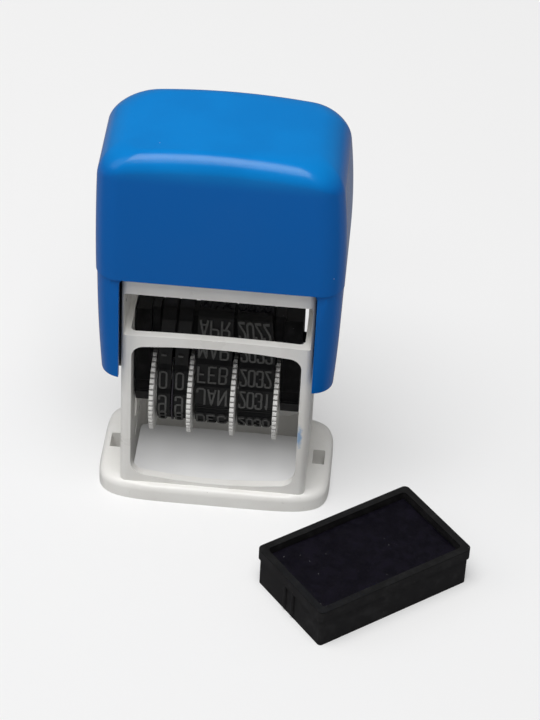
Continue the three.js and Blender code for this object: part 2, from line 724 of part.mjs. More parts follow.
// Platen: the hollow bar that backs the type, with a raised shoulder beyond the outer bands
function platen() {
  const leftX = leftCheekInnerX + seatGap;
  const rightX = rightCheekInnerX - seatGap;
  const lean = Math.tan(bandLean());
  const widen = (z) => platenHalfWidth + (platenTopZ - z) * lean;
  const bar = new THREE.Shape();
  const innerTop = platenTopZ - platenWall;
  bar.moveTo(-widen(platenFootZ), platenFootZ);
  bar.lineTo(platenWall - widen(platenFootZ), platenFootZ);
  bar.lineTo(platenWall - widen(innerTop), innerTop);
  bar.lineTo(widen(innerTop) - platenWall, innerTop);
  bar.lineTo(widen(platenFootZ) - platenWall, platenFootZ);
  bar.lineTo(widen(platenFootZ), platenFootZ);
  bar.absarc(platenHalfWidth - platenCorner, platenTopZ - platenCorner, platenCorner, 0, Math.PI / 2);
  bar.absarc(platenCorner - platenHalfWidth, platenTopZ - platenCorner, platenCorner, Math.PI / 2, Math.PI);
  bar.closePath();
  const tenonX = platenTenonDepth - seatGap;
  const tenon = extrudeX(platenTenon(0), leftCheekInnerX - tenonX, rightCheekInnerX + tenonX);
  const shoulderTop = faceZ - typeRelief;
  const shoulderHalf = platenHalfWidth + bandThickness / 2;
  const shoulders = [
    [leftX, bandTensFaceX - dayBandWidth / 2 - platenEndGap],
    [bandYearFaceX + yearBandWidth / 2 + platenEndGap, rightX],
  ];
  let body = extrudeX(bar, leftX, rightX).add(tenon);
  for (const [fromX, toX] of shoulders) {
    const shoulder = box(fromX, toX, -shoulderHalf, shoulderHalf, platenTopZ - platenTenonHeight, shoulderTop);
    body = body.add(shoulder);
  }
  return piece('platen', body, carrierBlack);
}

// Angle by which a band's straight runs lean towards the platen
function bandLean() {
  const cornerRadius = platenCorner + seatGap;
  const rise = platenTopZ - platenCorner - axleZ;
  const shift = platenHalfWidth - platenCorner;
  const span = Math.hypot(rise, shift);
  return Math.asin((bandInnerRadius - cornerRadius) / span) - Math.atan2(shift, rise);
}

// The loop of a band in Y and Z: arcs round the platen's corners and small ones between the flats
// on which the stiff type lies round the hub, joined by straight runs
function bandLoop() {
  const lean = bandLean();
  const cornerRadius = platenCorner + seatGap;
  const cornerY = platenHalfWidth - platenCorner;
  const cornerZ = platenTopZ - platenCorner;
  const neutral = bandThickness / 2;
  const turn = (Math.PI + 2 * lean) / (hubFlats + 1);
  const hubCorner = Array.from({ length: hubFlats + 1 }, (_, i) => {
    const from = Math.PI - lean + turn * i;
    const away = (bandInnerRadius - hubCornerRadius) / Math.cos(turn / 2);
    return {
      y: away * Math.cos(from + turn / 2),
      z: axleZ + away * Math.sin(from + turn / 2),
      radius: hubCornerRadius,
      from,
      to: from + turn,
    };
  });
  const arcs = [
    { y: cornerY, z: cornerZ, radius: cornerRadius, from: lean, to: Math.PI / 2 },
    { y: -cornerY, z: cornerZ, radius: cornerRadius, from: Math.PI / 2, to: Math.PI - lean },
    ...hubCorner,
  ];
  const at = (arc, angle) => ({
    y: arc.y + arc.radius * Math.cos(angle),
    z: arc.z + arc.radius * Math.sin(angle),
    angle,
  });
  const stations = [];
  let length = 0;
  arcs.forEach((arc, i) => {
    const next = arcs[(i + 1) % arcs.length];
    const sweep = arc.to - arc.from;
    const arcLength = (arc.radius + neutral) * sweep;
    const arcStart = length;
    stations.push({ start: arcStart, end: arcStart + arcLength, where: (s) => at(arc, arc.from + sweep * s) });
    length += arcLength;
    const a = at(arc, arc.to);
    const b = at(next, next.from);
    const run = Math.hypot(b.y - a.y, b.z - a.z);
    const runStart = length;
    stations.push({
      start: runStart,
      end: runStart + run,
      where: (s) => ({ y: a.y + (b.y - a.y) * s, z: a.z + (b.z - a.z) * s, angle: arc.to }),
    });
    length += run;
  });
  const point = (distance, height) => {
    const wrapped = ((distance % length) + length) % length;
    const part = stations.find(({ end }) => wrapped <= end) ?? stations[stations.length - 1];
    const { y, z, angle } = part.where((wrapped - part.start) / (part.end - part.start));
    return new THREE.Vector2(y + height * Math.cos(angle), z + height * Math.sin(angle));
  };
  return { length, point, stations };
}

// Band: a rubber loop with a raised block for each row of type, gathered sideways over the platen
function band(name, hubX, faceX, width) {
  const { length, point, stations } = bandLoop();
  const [faceStation, frontRun, firstFlat, flatStep] = [1, 3, 5, 2];
  const middleOf = ({ start, end }) => (start + end) / 2;
  const faceMiddle = middleOf(stations[faceStation]);
  const pitch = (stations[frontRun].end - faceMiddle) * rowShare;
  const upright = Array.from({ length: 2 * runRows + 1 }, (_, i) => faceMiddle + (i - runRows) * pitch);
  const flats = Array.from({ length: hubFlats }, (_, i) => middleOf(stations[firstFlat + flatStep * i]));
  const rows = [
    ...upright.map((middle) => ({ middle, room: pitch })),
    ...flats.map((middle) => ({ middle, room: flats[1] - flats[0] })),
  ];
  const wrap = (s) => ((s % length) + length) % length;
  const apart = (a, b) => Math.abs(wrap(a - b + length / 2) - length / 2);
  const topHalf = (room) => (room * (blockTopShare + blockShare)) / 4;
  const marks = rows.flatMap(({ middle, room }) => [
    { at: wrap(middle - (room * blockShare) / 2), high: 0 },
    { at: wrap(middle - topHalf(room)), high: 1 },
    { at: wrap(middle + topHalf(room)), high: 1 },
    { at: wrap(middle + (room * blockShare) / 2), high: 0 },
  ]);
  const bends = stations.flatMap(({ start, end }, i) => {
    const runs = end - start > 2 * pitch ? runSteps : 1;
    const steps = i % 2 ? runs : bendSteps;
    return Array.from({ length: steps }, (_, k) => start + ((end - start) * k) / steps);
  });
  const raised = (s) => (rows.some(({ middle, room }) => apart(s, middle) < topHalf(room)) ? 1 : 0);
  const clear = (s) => marks.every(({ at }) => apart(s, at) > pitch * leastStepShare);
  const outer = [
    ...marks.map(({ at, high }) => ({ s: at, high })),
    ...bends.filter(clear).map((s) => ({ s, high: raised(s) })),
  ].sort((a, b) => a.s - b.s);
  const gatherZ = axleZ + wheelRadius + gatherRise;
  const shift = (z) => (faceX - hubX) * THREE.MathUtils.clamp((z - gatherZ) / (platenTopZ - gatherZ), 0, 1);
  const place = (side, { x: y, y: z }) => new THREE.Vector3(hubX + (side * width) / 2 + shift(z), y, z);
  const rings = outer.map(({ s, high }) => {
    const inside = point(s, 0);
    const outside = point(s, bandThickness + typeRelief * high);
    return [place(-1, inside), place(1, inside), place(1, outside), place(-1, outside)];
  });
  return piece(name, loopSkin(rings), bandRubber);
}

// Thumb wheel: a finely serrated disc with the hub that drives its band on one side
function wheel(name, discX, hubToX) {
  const toothAngle = (2 * Math.PI) / wheelTeeth;
  const rim = [];
  for (let tooth = 0; tooth < wheelTeeth; tooth += 1) {
    const start = tooth * toothAngle;
    const tipFrom = start + (toothAngle * (1 - toothTipShare)) / 2;
    const steps = [
      [start + toothAngle * toothRootShare / 2, wheelRadius - toothDepth],
      [tipFrom, wheelRadius],
      [tipFrom + toothAngle * toothTipShare, wheelRadius],
    ];
    steps.forEach(([angle, radius]) => {
      rim.push(new THREE.Vector2(radius * Math.cos(angle), axleZ + radius * Math.sin(angle)));
    });
  }
  const [discFrom, discTo] = [discX - wheelThickness / 2, discX + wheelThickness / 2];
  const hub = barX(hubRadius, Math.min(discX, hubToX), Math.max(discX, hubToX), 0, axleZ);
  const reach = wheelThickness + Math.abs(hubToX - discX) + cutOver;
  const bore = barX(axleRadius + runGap, discX - reach, discX + reach, 0, axleZ);
  const body = extrudeX(new THREE.Shape(rim), discFrom, discTo).add(hub).subtract(bore);
  return piece(name, body, wheelGrey);
}

// Thin disc that keeps the two day bands apart
function spacerDisc() {
  const radius = bandInnerRadius + bandThickness + typeRelief + spacerOverBand;
  const disc = barX(radius, spacerX - spacerThickness / 2, spacerX + spacerThickness / 2, 0, axleZ);
  const bore = barX(axleRadius + runGap, spacerX - cutOver, spacerX + cutOver, 0, axleZ);
  return piece('day_spacer_disc', disc.subtract(bore), wheelGrey);
}

function wheelAxle() {
  const end = cheekOuterX - axleInset;
  return piece('wheel_axle', barX(axleRadius, -end, end, 0, axleZ), steel);
}

// Tray of the ink pad, with its proud rim and two ribs on one short end
function padTray() {
  const bodyHalfLength = padLength / 2 - padRimLip;
  const bodyHalfWidth = padWidth / 2 - padRimLip;
  const rimZ = padHeight - padRimHeight;
  const walls = extrudeZ(roundedRectangle(bodyHalfLength, bodyHalfWidth, padCorner - padRimLip), 0, padHeight);
  const rim = extrudeZ(roundedRectangle(padLength / 2, padWidth / 2, padCorner), rimZ, padHeight);
  const cavity = roundedRectangle(padLength / 2 - padRimWidth, padWidth / 2 - padRimWidth, padCavityCorner);
  let body = walls.add(rim).subtract(extrudeZ(cavity, padFloor, padHeight + cutOver));
  for (const y of [-endRibSpacing / 2, endRibSpacing / 2]) {
    body = body.add(barZ(endRibRadius, -bodyHalfLength, y, endRibFoot, rimZ + weldSink));
  }
  return piece('pad_tray', body, padBlack);
}

// Felt block soaked with ink
function padFelt() {
  const halfX = padLength / 2 - padRimWidth - seatGap;
  const halfY = padWidth / 2 - padRimWidth - seatGap;
  const outline = roundedRectangle(halfX, halfY, padCavityCorner);
  return piece('pad_felt', extrudeZ(outline, padFloor + seatGap, padHeight - feltBelowRim), feltInk);
}

// Everything that stands on the desk, the pad turned and set beside the stamp
const dateStamp = new THREE.Group();
const inkPad = new THREE.Group();
inkPad.add(padTray(), padFelt());
inkPad.position.set(padPlaceX, padPlaceY, 0);
inkPad.rotation.z = padTurn;

const spacerReach = spacerThickness / 2 + bandSideGap;
dateStamp.add(
  frame(),
  cap(),
  stirrup(),
  returnSpring(),
  cheek('carrier_left_cheek', leftCheekInnerX, -1),
  cheek('carrier_right_cheek', rightCheekInnerX, 1),
  platen(),
  wheelAxle(),
  wheel('wheel_day_tens', wheelTensX, spacerX - spacerReach),
  wheel('wheel_day_units', wheelUnitsX, spacerX + spacerReach),
  wheel('wheel_month', wheelMonthX, wheelUnitsX + wheelThickness / 2 + bandSideGap),
  wheel('wheel_year', wheelYearX, wheelMonthX + wheelThickness / 2 + bandSideGap),
  spacerDisc(),
  band('band_day_tens', bandTensX, bandTensFaceX, dayBandWidth),
  band('band_day_units', bandUnitsX, bandUnitsFaceX, dayBandWidth),
  band('band_month', bandMonthX, bandMonthFaceX, monthBandWidth),
  band('band_year', bandYearX, bandYearFaceX, yearBandWidth),
  inkPad,
);

// The whole set is centred over the origin and stands on it
dateStamp.updateMatrixWorld(true);
const reach = new THREE.Box3().setFromObject(dateStamp, true);
const middle = reach.getCenter(new THREE.Vector3());
dateStamp.position.set(-middle.x, -middle.y, -reach.min.z);
dateStamp.updateMatrixWorld(true);

export default dateStamp;
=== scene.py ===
"""Small self-inking date stamp standing on its foot, with its ink pad lying beside it.

Every size inside the classes is in millimetres, in the stamp's or the pad's own axes: X to the
right, Y to the back, Z up. Two placing matrices bring the finished meshes into the frame.
"""

import logging
import math
import re
from dataclasses import dataclass, field
from enum import Enum
from typing import Callable, Iterable, Sequence, Union

import bmesh
import bpy
from mathutils import Matrix, Vector, noise


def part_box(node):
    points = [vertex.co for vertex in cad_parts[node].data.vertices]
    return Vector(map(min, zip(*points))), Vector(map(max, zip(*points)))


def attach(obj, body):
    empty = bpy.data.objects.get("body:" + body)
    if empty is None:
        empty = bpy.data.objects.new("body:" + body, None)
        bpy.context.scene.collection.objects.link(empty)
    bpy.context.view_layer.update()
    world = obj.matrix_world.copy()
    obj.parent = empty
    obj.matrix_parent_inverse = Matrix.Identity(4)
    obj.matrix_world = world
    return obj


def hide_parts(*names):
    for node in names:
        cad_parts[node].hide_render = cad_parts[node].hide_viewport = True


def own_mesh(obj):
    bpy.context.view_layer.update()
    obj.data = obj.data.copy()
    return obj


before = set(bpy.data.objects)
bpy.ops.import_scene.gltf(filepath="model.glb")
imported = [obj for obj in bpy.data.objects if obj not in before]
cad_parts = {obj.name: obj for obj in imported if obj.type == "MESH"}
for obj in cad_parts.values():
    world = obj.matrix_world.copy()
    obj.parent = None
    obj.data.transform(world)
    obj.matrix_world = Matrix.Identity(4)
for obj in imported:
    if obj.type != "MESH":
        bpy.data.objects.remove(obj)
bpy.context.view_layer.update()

MM = 0.001
DRAFT_MERGE = 1e-4
NODE_MERGE = 2e-6
FLAT_TURN = 0.5
SMOOTH_TURN = 32.0
SHEET = 0.863
AMBIENT = 0.16
LOG = logging.getLogger("date_stamp")
Colour = tuple[float, float, float, float]
Number = Union[float, "Val"]
Pair = tuple[float, float]
Point = tuple[float, float, float]


def middle_of(node: str) -> Vector:
    """Middle of a node's box, in metres."""
    low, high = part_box(node)
    return (Vector(low) + Vector(high)) / 2


def placing(middle: Vector, turn: float) -> Matrix:
    """Millimetres about a piece's own middle, turned about Z, to metres in the frame."""
    spot = Matrix.Translation((middle.x, middle.y, 0.0))
    return spot @ Matrix.Rotation(math.radians(turn), 4, "Z") @ Matrix.Scale(MM, 4)


STAMP = placing(middle_of("frame"), turn=0.0)
PAD_TURN = 38.4
PAD = placing(middle_of("pad_felt"), turn=PAD_TURN)


class Body(Enum):
    """Bodies that the pieces ride on."""

    FRAME = "frame"
    PRESS = "press"
    HOLDER = "holder"
    WHEEL_DAY_TENS = "wheel_day_tens"
    WHEEL_DAY_UNITS = "wheel_day_units"
    WHEEL_MONTH = "wheel_month"
    WHEEL_YEAR = "wheel_year"
    INK_PAD = "ink_pad"


@dataclass(frozen=True)
class Val:
    """A number, vector or colour that a node gives out."""

    wires: "Wires"
    socket: bpy.types.NodeSocket

    def math(self, operation: str, *others: Number) -> "Val":
        """Math node on this value and the others."""
        values = dict(enumerate((self, *others)))
        return self.wires.out("ShaderNodeMath", {"operation": operation}, values)

    def __add__(self, other: Number) -> "Val":
        """Sum."""
        return self.math("ADD", other)

    __radd__ = __add__

    def __mul__(self, other: Number) -> "Val":
        """Product."""
        return self.math("MULTIPLY", other)

    __rmul__ = __mul__

    def __sub__(self, other: Number) -> "Val":
        """Difference."""
        return self.math("SUBTRACT", other)

    def __rsub__(self, other: Number) -> "Val":
        """A number less this value."""
        return self.wires.out("ShaderNodeMath", {"operation": "SUBTRACT"}, {0: other, 1: self})

    def __truediv__(self, other: Number) -> "Val":
        """Quotient."""
        return self.math("DIVIDE", other)

    def ramp(self, low: float, high: float) -> "Val":
        """0 below low, 1 above high, smooth in between.

        Args:
            low: Where it starts to rise.
            high: Where it ends.

        Returns:
            Values from 0 to 1.
        """
        settings = {"interpolation_type": "SMOOTHSTEP"}
        inputs = {"Value": self, "From Min": low, "From Max": high}
        return self.wires.out("ShaderNodeMapRange", settings, inputs)

    def tween(self, low: float, high: float) -> "Val":
        """A mask from 0 to 1 stretched to run from low to high."""
        return self * (high - low) + low


@dataclass(frozen=True)
class Wires:
    """A node tree that is written as expressions, with the coordinates that its patterns read."""

    tree: bpy.types.NodeTree
    coords: Val | None = None

    def node(self, kind: str, settings: dict | None = None, inputs: dict | None = None) -> bpy.types.Node:
        """Adds a node.

        Args:
            kind: Node type.
            settings: Properties that are set first.
            inputs: Values or links of its sockets, by name or number.

        Returns:
            The new node.
        """
        node = self.tree.nodes.new(kind)
        for key, value in (settings or {}).items():
            setattr(node, key, value)
        for key, value in (inputs or {}).items():
            if isinstance(value, Val):
                self.tree.links.new(value.socket, node.inputs[key])
            else:
                node.inputs[key].default_value = value
        return node

    def out(
        self, kind: str, settings: dict | None = None, inputs: dict | None = None, output: int | str = 0
    ) -> Val:
        """Adds a node and gives one of its outputs."""
        return Val(self, self.node(kind, settings, inputs).outputs[output])

    def part(self, vector: Val, axis: str) -> Val:
        """One coordinate of a vector."""
        return self.out("ShaderNodeSeparateXYZ", None, {0: vector}, axis)

    def above(self, level: float, fade: float) -> Val:
        """0 below a level in millimetres, 1 from fade above it."""
        return self.part(self.coords, "Z").ramp(level * MM, (level + fade) * MM)

    def noise(self, grain: float, detail: float = 3.0, rough: float = 0.5) -> Val:
        """Noise about 0.5 with lumps of grain millimetres and detail octaves of falling weight."""
        inputs = {"Vector": self.coords, "Scale": 1 / (grain * MM), "Detail": detail, "Roughness": rough}
        return self.out("ShaderNodeTexNoise", None, inputs, "Fac")

    def dust(self, spacing: float, share: float, speck: float = 0.07) -> Val:
        """Scattered specks.

        Args:
            spacing: Width of the cells that may hold a speck, in millimetres.
            share: Part of the cells that hold one.
            speck: Radius of a speck, in millimetres.

        Returns:
            1 on a speck, 0 elsewhere.
        """
        inputs = {"Vector": self.coords, "Scale": 1 / (spacing * MM), "Randomness": 1.0}
        cells = self.node("ShaderNodeTexVoronoi", {"voronoi_dimensions": "3D"}, inputs)
        near, draw = (Val(self, cells.outputs[name]) for name in ("Distance", "Color"))
        chosen = self.part(draw, "X").math("LESS_THAN", share)
        edge = speck / spacing
        return chosen * (1 - near.ramp(edge * 0.6, edge * 1.2))

    def mix(self, mask: Number, below: Union[Colour, Val], above: Union[Colour, Val]) -> Val:
        """Colour that goes from below to above as the mask goes from 0 to 1."""
        inputs = {0: mask, 6: below, 7: above}
        return self.out("ShaderNodeMix", {"data_type": "RGBA"}, inputs, 2)

    def bump(self, height: Val, depth: float, strength: float = 1.0, over: Val | None = None) -> Val:
        """Normal raised by a height from 0 to 1 that stands for depth millimetres.

        Args:
            height: Height from 0 to 1.
            depth: What a height of 1 stands for, in millimetres.
            strength: Share of the bump that is used.
            over: Normal that it lies over.

        Returns:
            The raised normal.
        """
        inputs = {"Height": height, "Distance": depth * MM, "Strength": strength}
        if over is not None:
            inputs["Normal"] = over
        return self.out("ShaderNodeBump", None, inputs)

    def surface(self, base: Val, rough: Val, normal: Val, **more: float) -> Val:
        """Principled shader; other sockets are named with underscores for spaces.

        Args:
            base: Base colour.
            rough: Roughness.
            normal: Normal.
            **more: Values of other sockets.

        Returns:
            The shader.
        """
        inputs = {"Base Color": base, "Roughness": rough, "Normal": normal}
        inputs.update((key.replace("_", " "), value) for key, value in more.items())
        return self.out("ShaderNodeBsdfPrincipled", None, inputs)

    def ray(self, kind: str) -> Val:
        """1 on rays of one kind, 0 on the others."""
        return self.out("ShaderNodeLightPath", None, None, f"Is {kind} Ray")

    def kept(self, name: str) -> Val:
        """A value that was stored on a piece's points, for its material."""
        return self.out("ShaderNodeAttribute", {"attribute_name": name}, None, "Fac")

    def store(self, shape: Val, name: str, value: Val) -> Val:
        """Geometry with a value stored on its points.

        Args:
            shape: The geometry.
            name: Name of the attribute.
            value: Its value on each point.

        Returns:
            The geometry with the value.
        """
        settings = {"data_type": "FLOAT", "domain": "POINT"}
        inputs = {"Geometry": shape, "Name": name, "Value": value}
        return self.out("GeometryNodeStoreNamedAttribute", settings, inputs)

    def point(self, x: Number, y: Number, z: Number) -> Val:
        """A vector from its coordinates."""
        return self.out("ShaderNodeCombineXYZ", None, {"X": x, "Y": y, "Z": z})

    def moved(self, shape: Val, how: str, where: Val) -> Val:
        """Geometry whose points are put at a Position or moved by an Offset."""
        return self.out("GeometryNodeSetPosition", None, {"Geometry": shape, how: where})

    def tube(self, line: Val, radius: Val, sides: int, more: dict | None = None) -> Val:
        """Closed tubes along lines.

        Args:
            line: The curve.
            radius: Radius of the tubes.
            sides: Points round them.
            more: Further inputs of the node.

        Returns:
            The tubes as a mesh.
        """
        inputs = {"Resolution": sides, "Radius": radius}
        section = self.out("GeometryNodeCurvePrimitiveCircle", None, inputs)
        inputs = {"Curve": line, "Profile Curve": section, "Fill Caps": True, **(more or {})}
        return self.out("GeometryNodeCurveToMesh", None, inputs)

    def shape_of(self, holder: Val) -> Val:
        """Geometry of an object."""
        return self.out("GeometryNodeObjectInfo", None, {"Object": holder}, "Geometry")


def grey(level: float, warmth: float = 0.0) -> Colour:
    """Linear grey; a positive warmth takes a little blue out."""
    return (level, level * (1 - warmth / 2), level * (1 - warmth), 1.0)


@dataclass(frozen=True)
class Finish:
    """A surface that pieces are dressed in."""

    name: str = "finish"

    def material(self) -> bpy.types.Material:
        """The finish as a material, made once.

        Returns:
            The material.
        """
        known = bpy.data.materials.get(self.name)
        if known:
            return known
        made = bpy.data.materials.new(self.name)
        made.use_nodes = True
        tree = made.node_tree
        tree.nodes.clear()
        wires = Wires(tree, Wires(tree).out("ShaderNodeTexCoord", None, None, "Object"))
        wires.node("ShaderNodeOutputMaterial", None, {"Surface": self.paint(wires)})
        return made

    def paint(self, wires: Wires) -> Val:
        """The surface shader, read in object coordinates."""
        raise NotImplementedError

    def dress(self, piece: bpy.types.Object) -> None:
        """Gives the piece this finish alone."""
        piece.data.materials.clear()
        piece.data.materials.append(self.material())


@dataclass(frozen=True)
class ShellPlastic(Finish):
    """Blue moulded shell with a fine satin spark grain and painted shade on its walls."""

    name: str = "shell_satin_blue"
    colour: Colour = (0.0002, 0.208, 0.60, 1.0)
    deep: Colour = (0.0002, 0.192, 0.565, 1.0)
    # painted shade: this darker blue makes the walls read darker than the roof, as if less light from above
    # reached them
    wall: Colour = (0.0002, 0.116, 0.44, 1.0)
    full_shade_below: float = 76.5
    unshaded_above: float = 81.0
    speck: Colour = (0.55, 0.65, 0.75, 1.0)
    gloss: float = 0.28

    def paint(self, wires: Wires) -> Val:
        """Satin grain in bump and roughness, clouds in the colour, painted wall shade, a few dust specks.

        Args:
            wires: The material's tree.

        Returns:
            The surface shader.
        """
        grain = wires.noise(grain=0.16, detail=2.0, rough=0.6)
        coarse = wires.noise(grain=0.6, detail=2.0)
        clouds = wires.noise(grain=14.0).ramp(0.35, 0.65)
        specks = wires.dust(spacing=2.4, share=0.12, speck=0.1)
        scuff = wires.noise(grain=2.4, detail=4.0, rough=0.7).ramp(0.62, 0.8)
        base = wires.mix(clouds, self.deep, self.colour)
        # painted shade: below the roof the walls blend into the darker wall blue
        upper = wires.above(self.full_shade_below, self.unshaded_above - self.full_shade_below)
        base = wires.mix(upper, self.wall, base)
        base = wires.mix(specks * 0.55, base, self.speck)
        rough = clouds.tween(0.19, 0.22) + scuff * 0.05 + grain * 0.06
        fine = wires.bump(grain, depth=0.012, strength=0.55)
        normal = wires.bump(coarse, depth=0.012, strength=0.25, over=fine)
        return wires.surface(base, rough, normal, Specular_IOR_Level=self.gloss)


@dataclass(frozen=True)
class FramePlastic(Finish):
    """Off-white moulding, lightly scuffed, with a smear of ink inside the right post."""

    name: str = "frame_moulded_white"
    colour: Colour = (0.88, 0.87, 0.84, 1.0)
    shade: Colour = (0.83, 0.815, 0.78, 1.0)
    scuffed: Colour = (0.40, 0.385, 0.36, 1.0)
    speck: Colour = (0.12, 0.11, 0.10, 1.0)
    ink: Colour = (0.12, 0.33, 0.62, 1.0)
    smear_at: Point = (16.95, -12.1, 18.7)
    smear_squeeze: Point = (1.7, 0.9, 0.3)
    smear_edge: Pair = (0.2, 1.1)
    smear_ragged: float = 1.6
    foot_low: float = 2.0
    foot_high: float = 7.0

    def paint(self, wires: Wires) -> Val:
        """Flow clouds, fine moulding grain, scuffs on the foot, ink smear.

        Args:
            wires: The material's tree.

        Returns:
            The surface shader.
        """
        clouds = wires.noise(grain=9.0, detail=4.0).ramp(0.3, 0.7)
        grain = wires.noise(grain=0.22, detail=2.0)
        scuff = wires.noise(grain=1.1, detail=5.0, rough=0.75).ramp(0.60, 0.74)
        low = 1 - wires.above(self.foot_low, self.foot_high - self.foot_low)
        base = wires.mix(clouds, self.shade, self.colour)
        base = wires.mix(scuff * low * 0.35, base, self.scuffed)
        base = wires.mix(self.smear(wires) * 0.75, base, self.ink)
        specks = wires.dust(spacing=3.0, share=0.10, speck=0.08)
        base = wires.mix(specks * 0.5, base, self.speck)
        rough = clouds.tween(0.27, 0.34) + scuff * 0.12
        worn = wires.bump(scuff * low, depth=0.03, strength=0.3)
        normal = wires.bump(grain, depth=0.008, strength=0.5, over=worn)
        return wires.surface(base, rough, normal)

    def smear(self, wires: Wires) -> Val:
        """1 in the blotchy upright smear of ink, 0 elsewhere.

        Args:
            wires: The material's tree.

        Returns:
            The mask.
        """
        spot = STAMP @ Vector(self.smear_at)
        inputs = {0: wires.coords, 1: tuple(spot)}
        away = wires.out("ShaderNodeVectorMath", {"operation": "SUBTRACT"}, inputs)
        inputs = {0: away, 1: self.smear_squeeze}
        squeezed = wires.out("ShaderNodeVectorMath", {"operation": "MULTIPLY"}, inputs)
        reach = wires.out("ShaderNodeVectorMath", {"operation": "LENGTH"}, {0: squeezed}, "Value")
        blots = wires.noise(grain=0.8, detail=4.0, rough=0.6)
        low, high = self.smear_edge
        return 1 - (reach + (blots - 0.5) * (self.smear_ragged * MM)).ramp(low * MM, high * MM)


@dataclass(frozen=True)
class DarkPlastic(Finish):
    """Black moulding with worn lighter patches, darker above a level."""

    name: str = "dark_moulded"
    colour: Colour = (0.0045, 0.0045, 0.0048, 1.0)
    worn: Colour = (0.014, 0.014, 0.0145, 1.0)
    rough_low: float = 0.36
    rough_high: float = 0.48
    dust_share: float = 0.10
    gloss: float = 0.2
    dark_above: float = 100.0

    def paint(self, wires: Wires) -> Val:
        """Faint wear clouds, moulding grain, pale dust.

        Args:
            wires: The material's tree.

        Returns:
            The surface shader.
        """
        wear = wires.noise(grain=2.6, detail=5.0, rough=0.65).ramp(0.45, 0.75)
        grain = wires.noise(grain=0.25, detail=2.0)
        specks = wires.dust(spacing=1.1, share=self.dust_share)
        base = wires.mix(wear, self.colour, self.worn)
        above = wires.above(self.dark_above, fade=0.2)
        base = wires.mix(above * 0.7, base, grey(0.003))
        base = wires.mix(specks * 0.5, base, grey(0.32))
        rough = wear.tween(self.rough_low, self.rough_high) + grain * 0.05
        normal = wires.bump(grain, depth=0.012, strength=0.5)
        return wires.surface(base, rough, normal, Specular_IOR_Level=self.gloss)


@dataclass(frozen=True)
class WheelPlastic(Finish):
    """Pale grey thumb wheels with faint grime and painted shade between the teeth."""

    name: str = "wheel_pale_grey"
    colour: Colour = (0.88, 0.87, 0.845, 1.0)
    grime_and_groove_shade: Colour = (0.04, 0.039, 0.036, 1.0)
    groove_shade: float = 0.78

    def paint(self, wires: Wires) -> Val:
        """Painted shade in the grooves, where 'groove' is stored, and grime in faint clouds.

        Args:
            wires: The material's tree.

        Returns:
            The surface shader.
        """
        groove = wires.kept("groove")
        clouds = wires.noise(grain=2.6).ramp(0.45, 0.8)
        grain = wires.noise(grain=0.25, detail=2.0)
        base = wires.mix(clouds * 0.12, self.colour, self.grime_and_groove_shade)
        # painted shade: the grooves between the teeth are darkened towards near black
        base = wires.mix(groove * self.groove_shade, base, self.grime_and_groove_shade)
        normal = wires.bump(grain, depth=0.006, strength=0.4)
        return wires.surface(base, clouds.tween(0.42, 0.55), normal)


@dataclass(frozen=True)
class BandRubber(Finish):
    """Near-black rubber whose type tops are rubbed lighter; 'height' is stored on the points."""

    name: str = "band_dark_rubber"
    colour: Colour = (0.007, 0.007, 0.0075, 1.0)
    plate: Colour = (0.021, 0.021, 0.021, 1.0)
    tops: Colour = (0.098, 0.098, 0.095, 1.0)
    ink: Colour = (0.004, 0.004, 0.007, 1.0)
    inked_above: float = 40.7
    gloss: float = 0.22

    def paint(self, wires: Wires) -> Val:
        """Lighter where the rubber stands higher, mottled, black with ink on the printing row.

        Args:
            wires: The material's tree.

        Returns:
            The surface shader.
        """
        height = wires.kept("height")
        mottle = wires.noise(grain=0.5, detail=4.0, rough=0.6)
        rubbed = height.ramp(1.25, 1.4) * mottle.ramp(0.2, 0.6).tween(0.65, 1.0)
        raised = height.ramp(0.92, 1.02)
        base = wires.mix(raised * mottle.tween(0.5, 1.2), self.colour, self.plate)
        base = wires.mix(rubbed, base, self.tops)
        inked = wires.above(self.inked_above, fade=0.5)
        base = wires.mix(inked, base, self.ink)
        rough = mottle.tween(0.55, 0.75) - inked * 0.2
        normal = wires.bump(wires.noise(grain=0.12, detail=2.0), depth=0.015, strength=0.5)
        return wires.surface(base, rough, normal, Specular_IOR_Level=self.gloss)


@dataclass(frozen=True)
class InkFelt(Finish):
    """Felt soaked with purple-black ink, dusted with lint."""

    name: str = "felt_inked"
    colour: Colour = (0.0022, 0.0016, 0.0042, 1.0)
    dry: Colour = (0.0048, 0.0036, 0.0088, 1.0)
    gloss: float = 0.12

    def paint(self, wires: Wires) -> Val:
        """Wet and dry mottling, short fibre grain and white lint specks.

        Args:
            wires: The material's tree.

        Returns:
            The surface shader.
        """
        mottle = wires.noise(grain=2.2, detail=5.0, rough=0.65).ramp(0.4, 0.72)
        fibres = wires.noise(grain=0.14, rough=0.7)
        base = wires.mix(mottle, self.colour, self.dry)
        base = wires.mix(wires.dust(spacing=1.0, share=0.16) * 0.7, base, grey(0.4))
        rough = mottle.tween(0.5, 0.85)
        normal = wires.bump(fibres, depth=0.06, strength=0.7)
        return wires.surface(base, rough, normal, Specular_IOR_Level=self.gloss)


@dataclass(frozen=True)
class DrawnSteel(Finish):
    """Drawn spring and axle steel with fine die marks."""

    name: str = "steel_drawn"

    def paint(self, wires: Wires) -> Val:
        """Streaked roughness and faint stain.

        Args:
            wires: The material's tree.

        Returns:
            The surface shader.
        """
        streaks = wires.noise(grain=0.3, detail=4.0, rough=0.6)
        stain = wires.noise(grain=3.0).ramp(0.5, 0.8)
        base = wires.mix(stain, grey(0.62), grey(0.42, warmth=0.12))
        normal = wires.bump(streaks, depth=0.006, strength=0.4)
        return wires.surface(base, streaks.tween(0.2, 0.42), normal, Metallic=1.0)


